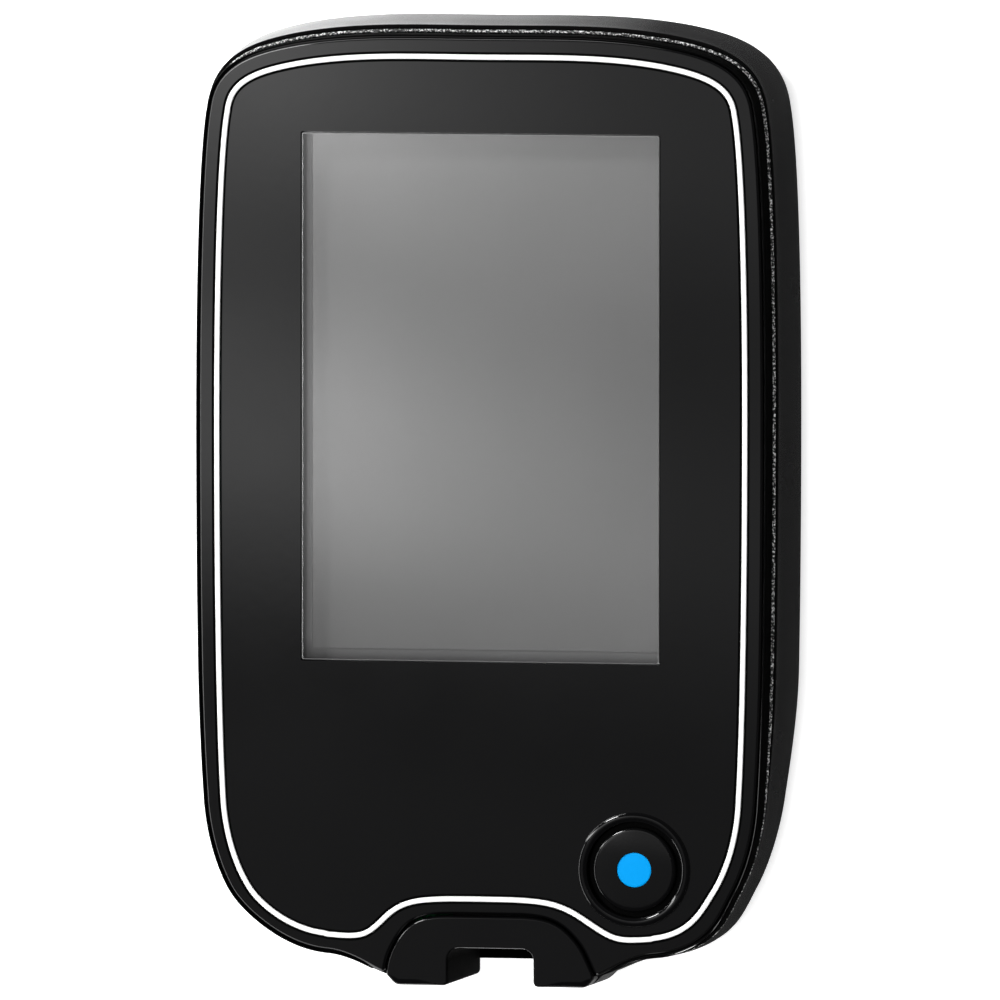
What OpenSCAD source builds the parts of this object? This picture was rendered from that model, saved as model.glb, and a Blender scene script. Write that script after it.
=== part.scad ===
// Handheld blood glucose meter with a touch screen, one home button and a strip port.
// The meter lies on its back: X is its width, Y its length towards the top edge, and Z its thickness.
// The origin is the centre of the back, so the back rests on Z = 0. Millimetres.

/* [Body] */
// Overall length, from the feet beside the strip notch to the top edge
body_l = 95; // [88:1:116]
// Overall width, across the widest part of the back shell
body_w = 60; // [56:1:74]
// Thickness, from the back to the face
body_t = 16; // [15.6:0.1:20]
// How much wider than the face the back shell is, on each side
side_flare = 1.9; // [1:0.05:3]
// How far the back shell stands past the face at the top
top_flare = 2; // [0.8:0.1:2.4]
// How far it stands past the face at the bottom corners and the bottom edge
low_flare = 0.7; // [0.5:0.1:1.4]
// Wall of the back shell
wall = 1.6; // [1.2:0.1:2]
// Height of the round between the back and the walls
back_round_h = 6; // [3:0.5:7]
// Width of that round at the sides
back_round_side = 4.6; // [2:0.2:6]
// Width of that round at the top
back_round_top = 3.5; // [2:0.2:5]
// Width of that round at the bottom corners and the bottom edge
back_round_low = 3.5; // [2:0.2:5]
// Width of that round at the feet
back_round_foot = 1.6; // [0.4:0.1:1.8]
// Depth of the front rim, from the face to the seam
rim_t = 2.9; // [2.4:0.1:3.2]
// Gap at the seam between the rim and the back shell
seam_gap = 0.15; // [0.1:0.05:0.2]

/* [Face] */
// Thickness of the face panel
fascia_t = 1; // [0.8:0.1:1.2]
// Fall of the top edge from its middle to its corners
crown_drop = 0.8; // [0.5:0.05:2]
// Width of the rounded top corners
top_corner_w = 9.6; // [6:0.2:10]
// Length of the rounded top corners
top_corner_l = 6.8; // [6:0.2:10]
// Width of the rounded bottom corners
bottom_corner_w = 11.6; // [10:0.2:13]
// Height of the rounded bottom corners, above the feet
bottom_corner_l = 18.8; // [15:0.2:20]
// Height of the bottom edge beside the feet, above the feet
foot_rise = 3.4; // [2.5:0.05:4]
// Half width of the flat end that the two feet share
foot_half_w = 9.1; // [8.6:0.1:9.8]
// Groove between the face and the pieces round it
face_groove = 0.2; // [0.1:0.05:0.3]
// Width of the light trim line
trim_w = 0.6; // [0.4:0.05:0.9]
// Thickness of the trim line
trim_t = 0.3; // [0.2:0.05:0.4]
// Distance from the edge of the face to the middle of the trim line
trim_inset = 1.6; // [1.3:0.1:2]

/* [Display] */
// Width of the clear window
window_w = 36.1; // [30:0.1:38]
// Length of the clear window
window_l = 52.1; // [44:0.1:54]
// Distance from the top edge of the face to the window
window_top = 9.05; // [8.6:0.05:12]
// Dark border between the side of the window and the lit field
field_side = 0.625; // [0.2:0.025:1]
// Dark border at the top end of the window
field_top = 0.2; // [0.1:0.05:1]
// Dark border at the bottom end of the window
field_foot = 1.15; // [0.2:0.05:2]
// Thickness of the touch sensor
sensor_t = 0.7; // [0.5:0.1:0.8]
// Thickness of the foam frame between the sensor and the display
gasket_t = 1.25; // [1:0.05:1.3]
// Thickness of the display glass
glass_t = 1.3; // [1:0.1:1.4]
// Thickness of the polariser film on the glass
film_t = 0.15; // [0.1:0.05:0.2]
// Thickness of the backlight
backlight_t = 1.8; // [1.5:0.1:2]

/* [Home button] */
// Distance of the button from the centre line
button_x = 15.45; // [13.4:0.05:17]
// Distance of the button above the feet
button_y = 11.7; // [11.4:0.1:14]
// Radius of the button cap
button_r = 4.15; // [3.5:0.05:4.4]
// Radius of the hole that the cap moves in
button_hole_r = 4.75; // [4.6:0.05:5]
// Radius of the low collar round the hole
collar_r = 5.65; // [5.3:0.05:5.8]
// Height of the collar above the face
collar_h = 0.25; // [0.1:0.05:0.3]
// Running clearance between the cap's skirt and its hole
button_fit = 0.08; // [0.05:0.01:0.1]
// How far the middle of the cap stands past the face
button_dome = 0.4; // [0.2:0.05:0.6]
// Radius of the blue dot
dot_r = 1.7; // [1.2:0.1:2]
// Travel of the button
button_travel = 0.35; // [0.2:0.05:0.35]

/* [Strip port] */
// How far the port and the feet stand to the right of the centre line
port_x = 1; // [-1:0.1:1.2]
// Width of the notch between the feet
notch_w = 8.6; // [7.6:0.1:9.6]
// Depth of the notch
notch_d = 3.73; // [3:0.01:4]
// Distance from the feet to the top of the notch surround
surround_h = 6.9; // [6.4:0.1:7]
// Width of the slot for a test strip
slot_w = 6.4; // [5.6:0.1:7]
// Height of the slot for a test strip
slot_h = 1.1; // [0.8:0.1:1.2]
// Length of the strip connector
connector_l = 8.5; // [7:0.5:9]

/* [Electronics] */
// Thickness of the circuit board
board_t = 1; // [0.8:0.1:1.2]
// Room for chips between the board and the display frame
chip_room = 0.8; // [0.7:0.1:1]
// Width of the battery cell
battery_w = 32; // [24:1:34]
// Length of the battery cell
battery_l = 42; // [30:1:44]
// Distance of the charging socket above the feet
socket_y = 37.5; // [34:0.5:44]

/* [Hidden] */

eps = 0.01;
over = 1;

// ---- Places that the body fixes ----
half_w = body_w / 2 - side_flare;
face_top = body_l / 2 - top_flare;
foot_y = -body_l / 2;
corner_y = face_top - crown_drop;
lower_y = foot_y + foot_rise;
rim_z = body_t - rim_t;
shell_z = rim_z - seam_gap;
notch_y = foot_y + notch_d;
button_pos = [button_x, foot_y + button_y];
window_y1 = face_top - window_top;
window_y0 = window_y1 - window_l;
field_y1 = window_y1 - field_top;
field_y0 = window_y0 + field_foot;
field_x = window_w / 2 - field_side;

// ---- Outline of the face, as curves from the top centre to the bottom centre ----
crown_handle = [7, 6];
side_tuck = 1.1;
side_bow = 0.6;
side_swell_y = 8;
rim_lean = 0.19;
crown_lean = 0.171;
side_lean = 0.13;
low_side_lean = 0.03;
bow_share = 0.7;
top_corner_handle = [4.3, 4.1];
side_handle = 14;
bottom_corner_handle = [7.2, 7.3];
bottom_lean = 0.09;
foot_side = 1.8;
foot_step = 1.3;
foot_slope = 0.35;
foot_handle = [2.6, 1.2];
foot_round = [0.7, 0.9];

function bez(a, b, c, d, n) =
    [for (i = [0 : n - 1]) let (t = i / n, s = 1 - t)
        a * s ^ 3 + 3 * b * t * s ^ 2 + 3 * c * t ^ 2 * s + d * t ^ 3];

crown_end = [half_w - top_corner_w, corner_y];
side_top = [half_w - side_tuck, corner_y - top_corner_l + crown_drop];
side_mid = [half_w, side_swell_y];
side_low = [half_w - side_bow, foot_y + bottom_corner_l];
bottom_end = [side_low[0] - bottom_corner_w + side_bow, lower_y];
foot_top = [foot_half_w + foot_side, foot_y + foot_step];

half_upper = concat(
    bez([0, face_top], [crown_handle[0], face_top],
        crown_end + crown_handle[1] * [-1, crown_lean], crown_end, 5),
    bez(crown_end, crown_end + top_corner_handle[0] * [1, -rim_lean],
        side_top + top_corner_handle[1] * [-side_lean, 1], side_top, 9),
    bez(side_top, side_top + [side_tuck * bow_share, -top_corner_handle[1]],
        side_mid + [0, side_handle], side_mid, 4),
    bez(side_mid, side_mid - [0, side_handle],
        side_low + [side_bow * bow_share, side_handle / 2], side_low, 4),
    bez(side_low, side_low - bottom_corner_handle[0] * [low_side_lean, 1],
        bottom_end + bottom_corner_handle[1] * [1, bottom_lean], bottom_end, 9));
half_face = concat(half_upper,
    bez(bottom_end, bottom_end - foot_handle[0] * [1, bottom_lean],
        foot_top + foot_handle[1] * [1, foot_slope], foot_top, 4),
    bez(foot_top, foot_top - foot_round[0] * [1, foot_slope],
        [foot_half_w + foot_round[1], foot_y], [foot_half_w, foot_y], 5),
    [[foot_half_w, foot_y], [notch_w / 2 + over, foot_y]]);
// The room inside ends in a straight line, so the feet are solid
half_room = concat(half_upper,
    [bottom_end, [bottom_end[0] * 2 / 3, bottom_end[1]], [bottom_end[0] / 3, bottom_end[1]]]);

function mirrored(half) =
    concat(half, [for (i = [len(half) - 1 : -1 : 1]) [-half[i][0], half[i][1]]]);
// Eases from 0 to 1 while t goes from 0 to 1
function ease(t) = let (c = max(0, min(1, t))) c ^ 2 * (3 - 2 * c);
// Moves the lowest part of a line sideways, to where the port stands
lean_y = [foot_y + 9.5, foot_y + 3.5];
function leaned(line) = [for (p = line)
    [p[0] + port_x * ease((lean_y[0] - p[1]) / (lean_y[0] - lean_y[1])), p[1]]];
face_line = leaned(mirrored(half_face));
room_line = leaned(mirrored(half_room));

function unit(v) = v / norm(v);
function left_of(v) = [-v[1], v[0]];
function normal_at(line, i) = let (n = len(line))
    unit(left_of(unit(line[(i + 1) % n] - line[i]) + unit(line[i] - line[(i + n - 1) % n])));
// Moves a closed line out by o = [side, top, low, foot], and gives it the height z. The side offset
// fades into the low one above the bottom corners, and both end at the foot offset.
fade_y = [foot_y + 16, foot_y + 21.5];
function fade(y) = ease((y - fade_y[0]) / (fade_y[1] - fade_y[0]));
function ring(line, o, z) = [for (i = [0 : len(line) - 1])
    let (m = normal_at(line, i), y = line[i][1], w = min(1, (y - foot_y) / foot_rise),
         side = o[3] + w * (o[2] + fade(y) * (o[0] - o[2]) - o[3]),
         down = o[3] + w * (o[2] - o[3]),
         p = line[i] + (m[0] ^ 2 * side + m[1] ^ 2 * (m[1] > 0 ? o[1] : down)) * m)
    [p[0], p[1], z]];
function moved(line, g) = [for (i = [0 : len(line) - 1]) line[i] + g * normal_at(line, i)];

// A closed solid through rings with as many points each, from the lowest to the highest
module loft(rings) {
    n = len(rings[0]);
    last = (len(rings) - 1) * n;
    sides = [for (k = [0 : len(rings) - 2], i = [0 : n - 1])
        let (j = (i + 1) % n, a = k * n)
        each [[a + i, a + n + j, a + n + i], [a + i, a + j, a + n + j]]];
    polyhedron([for (r = rings) each r],
        concat([[for (i = [n - 1 : -1 : 0]) i]], sides, [[for (i = [0 : n - 1]) last + i]]), 4);
}
module slab(z0, z1) translate([0, 0, z0]) linear_extrude(z1 - z0) children();
module block(p, q) translate(p) cube(q - p);
module disc(at, r, z0, z1) translate([at[0], at[1], z0]) cylinder(r = r, h = z1 - z0, $fn = 48);

// ---- Profile of the case: outward offsets [side, top, low, foot] at each height ----
round_steps = 6;
shoulder_h = 1;
shoulder_lip = [0.6, 0.6, 0.6, 0];
shoulder = [1.05, 1.05, 0.8, 0];
full = [side_flare, top_flare, low_flare, 0];
back_round = [back_round_side, back_round_top, back_round_low, back_round_foot];
shell_levels = concat(
    [for (k = [0 : round_steps]) let (a = 90 * k / round_steps)
        [full - back_round * (1 - sin(a)), back_round_h * (1 - cos(a))]],
    [for (k = [0 : 3]) let (a = 30 * k)
        [shoulder_lip + (shoulder - shoulder_lip) * cos(a), shell_z - shoulder_h * (1 - sin(a))]]);
walls = [wall, wall, wall, wall];
floor_in = 1.6;
knee_in = 0.4;
knee_z = wall * 2;
lip_step = 0.2;
room_levels = [
    [full - walls - floor_in * [1, 1, 1, 0], wall],
    [full - walls - knee_in * [1, 1, 1, 0], knee_z],
    [full - walls, back_round_h],
    [shoulder - walls, shell_z - shoulder_h - lip_step],
    [shoulder_lip - walls, shell_z - lip_step],
    [shoulder_lip - walls, shell_z + over]];
// The rim swells past the face, as a quarter of an ellipse that ends just below the face
rim_swell = shoulder_lip[0];
rim_drop = 0.2;
function rim_level(a) =
    [(face_groove + (rim_swell - face_groove) * cos(a)) * [1, 1, 1, 0],
     rim_z + (rim_t - rim_drop) * sin(a)];
rim_levels = [for (a = [0 : 16 : 80]) rim_level(a)];
// The notch surround has the same swell, and a round of its own where it meets the face
nose_round = 0.25;
nose_side = 0.18;
nose_levels = concat(
    [for (a = [0 : 16 : 64]) rim_level(a)],
    [for (a = [30, 60, 90]) [[1, 1, 1, 0] * nose_side * cos(a) - [0, 0, 0, nose_round * (1 - cos(a))],
                             body_t - nose_side * (1 - sin(a))]]);
face_round = 0.28;
face_levels = concat([[[0, 0, 0, 0], body_t - fascia_t]],
    [for (a = [0 : 30 : 90]) [-face_round * (1 - cos(a)) * [1, 1, 1, 1],
                              body_t - face_round * (1 - sin(a))]]);

module loft_of(line, levels) loft([for (v = levels) ring(line, v[0], v[1])]);

// ---- Notch, surround and trim in plan ----
notch_round = 1.2;
notch_flare = 0.5;
throat_wall = 1.1;
throat_fit = 0.1;
throat_z = 9;
function arc(c, r, a0, a1, n) =
    [for (i = [0 : n]) let (a = a0 + (a1 - a0) * i / n) c + r * [cos(a), sin(a)]];
half_notch = concat(
    [[0, notch_y]],
    arc([notch_w / 2 - notch_round, notch_y - notch_round], notch_round, 90, 0, 5),
    arc([notch_w / 2 + notch_flare, foot_y + notch_flare], notch_flare, 180, 270, 4),
    [[notch_w / 2 + notch_flare, foot_y - over]]);
module notch() translate([port_x, 0]) polygon(mirrored(half_notch));

surround_y = foot_y + surround_h;
surround_flat = 3.2;
surround_side = [foot_half_w + foot_side - 0.3, foot_y + 0.6];
surround_knee = [surround_side[0] - 2, surround_y - 2.3];
half_surround = concat(
    [[0, surround_y]],
    bez([surround_flat, surround_y], [surround_flat + 3.4, surround_y],
        surround_knee + [-1.15, 1.6], surround_knee, 7),
    bez(surround_knee, surround_knee + [0.8, -1.1], surround_side + [-0.45, 1.1], surround_side, 4),
    [surround_side, [surround_side[0], foot_y - over]]);
surround_line = leaned(mirrored(half_surround));
module surround(g = 0) polygon(moved(surround_line, g));

trim_gap = 0.04;
// The trim runs parallel to the edge, and then over the notch surround in an S curve
edge_run = [for (i = [0 : len(half_upper) - 1])
    half_upper[i] - trim_inset * normal_at(room_line, i)];
trim_low = [bottom_end[0] - 0.25, bottom_end[1] + trim_inset - 0.02];
trim_rise = surround_y + trim_inset + 0.05;
trim_s = [4.6, 4.75];
trim_fall = 0.63;
half_trim = concat(edge_run,
    bez(trim_low, trim_low - [trim_s[1], trim_fall], [trim_s[0] * 2, trim_rise - 0.15],
        [trim_s[0], trim_rise - 0.05], 11),
    [[trim_s[0], trim_rise - 0.05], [trim_s[0] / 2, trim_rise]]);
trim_line = leaned(mirrored(half_trim));
module trim_path(w) difference() {
    polygon(moved(trim_line, w / 2));
    polygon(moved(trim_line, -w / 2));
}

// ---- Stack of the display, from the face down ----
ledge_z = body_t - fascia_t;
plate_t = 1;
plate_z = ledge_z - plate_t;
sensor_border = 1.6;
sensor_z = ledge_z - sensor_t;
film_z = sensor_z - gasket_t;
glass_z = film_z - film_t;
backlight_z = glass_z - glass_t;
light_z = backlight_z - backlight_t;
frame_wall = 0.5;
frame_back = 0.4;
frame_z = light_z - frame_back;
board_top = frame_z - chip_room;
slot_lift = 1.4;
slot_z = board_top + slot_lift;
board_z = board_top - board_t;
glass_margin = 2.4;
glass_p = [-field_x - glass_margin, field_y0 - glass_margin * 1.9];
glass_q = [field_x + glass_margin, field_y1 + 1.2];
sensor_p = [-window_w / 2 - sensor_border, window_y0 - sensor_border];
sensor_q = [window_w / 2 + sensor_border, window_y1 + sensor_border];
gasket_lip = 0.45;
part_gap = 0.2;
frame_fit = 0.1;
flex_t = 0.12;
flex_w = 14;
touch_flex_w = 6;
touch_flex_x = sensor_p[0] + touch_flex_w / 2 + 2.15;
tail_lap = 0.7;
tail_notch = 2.8;

module rect(p, q, g = 0) translate(p - [g, g]) square([q[0] - p[0] + 2 * g, q[1] - p[1] + 2 * g]);

// ---- Screws and bosses ----
screw_r = 1;
screw_fit = 0.05;
head_r = 1.8;
head_h = 1.2;
head_sink = 0.6;
boss_r = 2.2;
post_r = 2.6;
post_z = 7;
boss_in = 1.3;
boss_at = [
    [half_w - 5.7, corner_y - 4.65],
    [half_w - 4.6, foot_y + bottom_corner_l]];
module at_bosses() for (p = boss_at, s = [-1, 1]) translate([s * p[0], p[1], 0]) children();
stand_r = 2;
stand_x = 20.4;
stand_y = [field_y1 - 4, foot_y + 25.4];
module at_stands() for (x = [-stand_x, stand_x], y = stand_y) translate([x, y, 0]) children();
small_r = 0.7;
small_head_r = 1.3;
small_head_h = 0.5;
small_l = 3.5;

// ---- Board ----
board_gap = 0.9;
board_x = half_w - wall - board_gap;
board_y1 = face_top - wall - 7.7;
board_y0 = notch_y + throat_wall + part_gap + 0.6;
board_corner = [bottom_end[0] + 1.2, foot_y + bottom_corner_l - 0.6];

// ---- Charging socket, in the left wall ----
socket_w = 7.4;
socket_h = 2.4;
socket_d = 5;
socket_wall = 0.25;
socket_z = board_z - socket_h;
socket_pos_y = foot_y + socket_y;
socket_x = -(half_w + shoulder[0] - wall) + part_gap;
socket_lip = 1;
socket_mouth = [10.6, 4.8];

// ---- Case ----
module rear_shell() color([0.07, 0.07, 0.075]) {
    difference() {
        loft_of(face_line, shell_levels);
        difference() {
            loft_of(room_line, room_levels);
            at_bosses() cylinder(r = post_r, h = post_z, $fn = 48);
            at_stands() cylinder(r = stand_r, h = board_z, $fn = 48);
        }
        slab(-over, body_t) notch();
        translate([port_x, 0, 0])
            block([-notch_w / 2 - throat_wall - throat_fit, foot_y - over, throat_z],
                  [notch_w / 2 + throat_wall + throat_fit, notch_y + throat_wall + throat_fit, body_t]);
        at_bosses() translate([0, 0, -over])
            cylinder(r = head_r + part_gap, h = head_sink + head_h + over, $fn = 48);
        at_bosses() cylinder(r = screw_r + part_gap, h = post_z + over, $fn = 48);
        at_stands() translate([0, 0, board_z + board_t - small_l - part_gap])
            cylinder(r = small_r + screw_fit, h = small_l, $fn = 32);
        block([-half_w - side_flare - over, socket_pos_y - socket_w / 2 + socket_wall,
               socket_z + socket_wall],
              [socket_x + over, socket_pos_y + socket_w / 2 - socket_wall,
               socket_z + socket_h - socket_wall]);
        translate([-half_w - side_flare - over, socket_pos_y, socket_z + socket_h / 2])
            rotate([90, 0, 90]) linear_extrude(over + socket_lip) {
            square([socket_mouth[0] - socket_mouth[1], socket_mouth[1]], center = true);
            for (s = [-1, 1]) translate([s * (socket_mouth[0] - socket_mouth[1]) / 2, 0])
                circle(d = socket_mouth[1], $fn = 48);
        }
    }
}

tongue_t = 0.9;
tongue_h = 1.2;
tongue_fit = 0.1;
tongue_in = shoulder_lip - walls - tongue_fit * [1, 1, 1, 1];
module front_housing() color([0.02, 0.02, 0.022]) {
    difference() {
        union() {
            difference() {
                loft_of(face_line, rim_levels);
                loft_of(face_line, [[face_groove * [1, 1, 1, 1], ledge_z],
                                    [face_groove * [1, 1, 1, 1], body_t + over]]);
                loft_of(room_line, [[tongue_in, rim_z - over], [tongue_in, plate_z]]);
            }
            difference() {
                loft_of(room_line, [[tongue_in, rim_z - tongue_h], [tongue_in, plate_z + eps]]);
                loft_of(room_line, [[tongue_in - tongue_t * [1, 1, 1, 1], rim_z - tongue_h - over],
                                    [tongue_in - tongue_t * [1, 1, 1, 1], plate_z]]);
            }
            at_bosses() translate([0, 0, post_z])
                cylinder(r = boss_r, h = plate_z + eps - post_z, $fn = 48);
        }
        slab(plate_z - over, body_t) rect(sensor_p, sensor_q, part_gap);
        slab(plate_z - over, body_t) tail_plan(0, tail_notch);
        slab(0, body_t + over) surround(face_groove);
        disc(button_pos, button_hole_r, 0, body_t + over);
        at_bosses() cylinder(r = screw_r + screw_fit, h = plate_z - boss_in, $fn = 48);
    }
}

collar_steps = 6;
collar_line = concat(
    [[0, -eps], [collar_r, -eps]],
    [for (i = [0 : collar_steps]) let (a = 150 * i / collar_steps)
        [collar_r - (collar_r - button_hole_r) * (1 - cos(a)) / (1 - cos(150)), collar_h * sin(a)]],
    [[0, collar_h * sin(150)]]);
module fascia() color([0.015, 0.015, 0.017]) difference() {
    union() {
        loft_of(face_line, face_levels);
        translate([button_pos[0], button_pos[1], body_t])
            rotate_extrude($fn = 72) polygon(collar_line);
    }
    slab(0, body_t + over) rect([-window_w / 2, window_y0], [window_w / 2, window_y1]);
    slab(0, body_t + over) surround(face_groove);
    slab(body_t - trim_t, body_t + over) trim_path(trim_w + 2 * trim_gap);
    disc(button_pos, button_hole_r, 0, body_t + over);
}

module accent_trim() color([0.93, 0.93, 0.92]) slab(body_t - trim_t, body_t) trim_path(trim_w);

module port_bezel() color([0.02, 0.02, 0.022]) difference() {
    union() {
        intersection() {
            loft_of(face_line, nose_levels);
            slab(0, body_t + over) surround(0);
        }
        translate([port_x, 0, 0])
            block([-notch_w / 2 - throat_wall, foot_y, throat_z],
                  [notch_w / 2 + throat_wall, notch_y + throat_wall, rim_z + eps]);
    }
    slab(0, body_t + over) notch();
    translate([port_x, 0, 0]) block([-slot_w / 2, notch_y - over, slot_z],
                                    [slot_w / 2, notch_y + throat_wall + over, slot_z + slot_h]);
}

// ---- Display ----
// The strip of plan that the touch sensor's tail leaves through
module tail_plan(y_in, y_out)
    translate([touch_flex_x - touch_flex_w / 2 - part_gap, sensor_p[1] - y_out])
        square([touch_flex_w + 2 * part_gap, y_in + y_out]);

module display_window() color([0.75, 0.78, 0.8, 0.35])
    slab(ledge_z, body_t) rect([-window_w / 2, window_y0], [window_w / 2, window_y1], -trim_gap / 2);

module touch_sensor() color([0.7, 0.75, 0.75, 0.35])
    slab(sensor_z, ledge_z) rect(sensor_p, sensor_q);

module display_gasket() color([0.05, 0.05, 0.05]) difference() {
    slab(glass_z, sensor_z) difference() {
        rect(sensor_p, sensor_q);
        rect([-window_w / 2 - gasket_lip, window_y0 - gasket_lip],
             [window_w / 2 + gasket_lip, window_y1 + gasket_lip]);
    }
    slab(sensor_z - 2 * flex_t, body_t) tail_plan(tail_lap + part_gap / 2, over);
}

module lcd_polarizer() color([0.45, 0.46, 0.45])
    slab(glass_z, film_z) rect([-field_x, field_y0], [field_x, field_y1]);

module lcd_panel() color([0.25, 0.26, 0.27]) slab(backlight_z, glass_z) rect(glass_p, glass_q);

module lcd_backlight() color([0.85, 0.86, 0.86])
    slab(light_z, backlight_z) rect(glass_p, glass_q, -0.3);

module lcd_frame() color([0.6, 0.6, 0.6]) difference() {
    slab(frame_z, glass_z) rect(glass_p, glass_q, frame_fit + frame_wall);
    slab(light_z, glass_z + over) rect(glass_p, glass_q, frame_fit);
    block([-flex_w / 2 - part_gap, glass_p[1] - over - frame_wall, backlight_z - part_gap],
          [flex_w / 2 + part_gap, glass_p[1] + eps, glass_z + over]);
}

// A flat flex: a strip of constant thickness through the points [y, z], w wide, centred on x
module flex(x, w, line) translate([x - w / 2, 0, 0]) rotate([90, 0, 90]) linear_extrude(w)
    polygon(concat(line, [for (i = [len(line) - 1 : -1 : 0])
        line[i] - flex_t * left_of(unit(line[min(i + 1, len(line) - 1)] - line[max(i - 1, 0)]))]));
flex_foot = 3;
display_flex_y = glass_p[1] - frame_fit - frame_wall - 1.1;
module display_flex() color([0.72, 0.42, 0.1]) flex(0, flex_w, concat(
    [[glass_p[1], backlight_z + glass_t / 2]],
    bez([display_flex_y + 1, backlight_z + glass_t / 2], [display_flex_y, backlight_z + glass_t / 2],
        [display_flex_y, backlight_z], [display_flex_y - 0.3, light_z], 6),
    bez([display_flex_y - 0.3, light_z], [display_flex_y - 0.5, board_top + 0.6],
        [display_flex_y - 0.8, board_top], [display_flex_y - 2, board_top], 5),
    [[display_flex_y - 2, board_top], [display_flex_y - 2 - flex_foot, board_top]]));

touch_flex_out = 3.8;
touch_flex_y = sensor_p[1] - touch_flex_out;
touch_flex_foot = 2.6;
module touch_flex() color([0.72, 0.42, 0.1]) flex(touch_flex_x, touch_flex_w, concat(
    [[sensor_p[1] + tail_lap, sensor_z - flex_t]],
    bez([sensor_p[1], sensor_z - flex_t], [sensor_p[1] - 2, sensor_z - flex_t],
        [touch_flex_y, sensor_z - 1.6], [touch_flex_y - 0.4, glass_z - 1], 6),
    bez([touch_flex_y - 0.4, glass_z - 1], [touch_flex_y - 0.8, board_top + 1.4],
        [touch_flex_y - 1, board_top], [touch_flex_y - 2.4, board_top], 6),
    [[touch_flex_y - 2.4, board_top], [touch_flex_y - 2.4 - touch_flex_foot, board_top]]));

// ---- Board and what sits on it ----
board_chamfer = 1.5;
module main_board() color([0.05, 0.3, 0.16]) difference() {
    slab(board_z, board_top) polygon(mirrored([
        [0, board_y1], [board_x - board_chamfer, board_y1], [board_x, board_y1 - board_chamfer],
        [board_x, board_corner[1]], [board_corner[0], board_y0], [board_corner[0] / 2, board_y0]]));
    at_bosses() cylinder(r = post_r + part_gap, h = body_t, $fn = 48);
    at_stands() cylinder(r = small_r + part_gap / 2, h = body_t, $fn = 32);
}

chip_y = (stand_y[0] + stand_y[1]) / 2;
module chip(at, s) block([at[0] - s[0] / 2, at[1] - s[1] / 2, board_top],
                         [at[0] + s[0] / 2, at[1] + s[1] / 2, board_top + s[2]]);
chip_x = -8;
processor_up = 4;
memory_down = 8;
charger_up = 17;
processor_size = [10, 10, 0.7];
memory_size = [8, 6, 0.6];
charger_size = [4, 4, 0.6];
radio_size = [6, 6, 0.45];
module processor_chip() color([0.08, 0.08, 0.09]) chip([chip_x, chip_y + processor_up], processor_size);
module memory_chip() color([0.08, 0.08, 0.09]) chip([chip_x, chip_y - memory_down], memory_size);
module charger_chip() color([0.08, 0.08, 0.09]) chip([chip_x, chip_y + charger_up], charger_size);

can_w = 15;
can_at = [9.5, chip_y + processor_up];
can_t = 0.15;
module radio_chip() color([0.08, 0.08, 0.09]) chip(can_at, radio_size);
module shield_can() color([0.75, 0.75, 0.76]) difference() {
    chip(can_at, [can_w, can_w, chip_room]);
    translate([0, 0, -eps]) chip(can_at, [can_w - 2 * can_t, can_w - 2 * can_t, chip_room - can_t + eps]);
}

cap_size = [1, 0.5, 0.5];
cap_pitch = [1.6, 1.1];
cap_corner = [-12, chip_y - 2.6];
module chip_capacitors() color([0.68, 0.58, 0.45]) for (i = [0 : 5], j = [0 : 1])
    chip(cap_corner + [i * cap_pitch[0], j * cap_pitch[1]], cap_size);

film_sheet_t = 0.15;
coil_t = 0.15;
ferrite_t = 0.3;
pad_t = 0.4;
film_x = stand_x - stand_r - 0.5;
film_y0 = foot_y + 20;
film_y1 = corner_y - 7.5;
module antenna_film() color([0.75, 0.5, 0.15])
    slab(wall, wall + film_sheet_t) rect([-film_x, film_y0], [film_x, film_y1]);

// A rectangular spiral: each corner of turn k lies k pitches in from the first turn
coil_turns = 4;
coil_w = 0.6;
coil_pitch = 1.2;
coil_edge = 1;
function coil_corner(i, g) = let (k = floor(i / 4), c = i % 4, a = coil_edge + k * coil_pitch - g)
    c == 0 ? [film_x - a, film_y0 + a - (k > 0 ? coil_pitch : 0)]
    : c == 1 ? [film_x - a, film_y1 - a]
    : c == 2 ? [-film_x + a, film_y1 - a]
    : [-film_x + a, film_y0 + a];
coil_n = 4 * coil_turns - 1;
module antenna_coil() color([0.8, 0.45, 0.2]) slab(wall + film_sheet_t, wall + film_sheet_t + coil_t)
    polygon(concat(
        [for (i = [0 : coil_n]) coil_corner(i, coil_w / 2)],
        [for (i = [coil_n : -1 : 0]) coil_corner(i, -coil_w / 2)]));

ferrite_z = wall + film_sheet_t + coil_t;
contact_y = film_y0 + 3.5;
module ferrite_sheet() color([0.2, 0.2, 0.21]) slab(ferrite_z, ferrite_z + ferrite_t)
    rect([-film_x + 1, contact_y + 3], [film_x - 1, film_y1 - 1]);

spring_x = 2.5;
spring_w = 1.2;
module antenna_contacts() color([0.85, 0.68, 0.3]) for (x = [-spring_x, spring_x])
    flex(x, spring_w, [[contact_y + 0.6, ferrite_z], [contact_y - 0.5, ferrite_z],
                  [contact_y - 0.9, ferrite_z + 0.8], [contact_y + 1.6, board_z - 0.8],
                  [contact_y + 1.2, board_z - flex_t], [contact_y - 1.5, board_z - flex_t]]);

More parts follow.
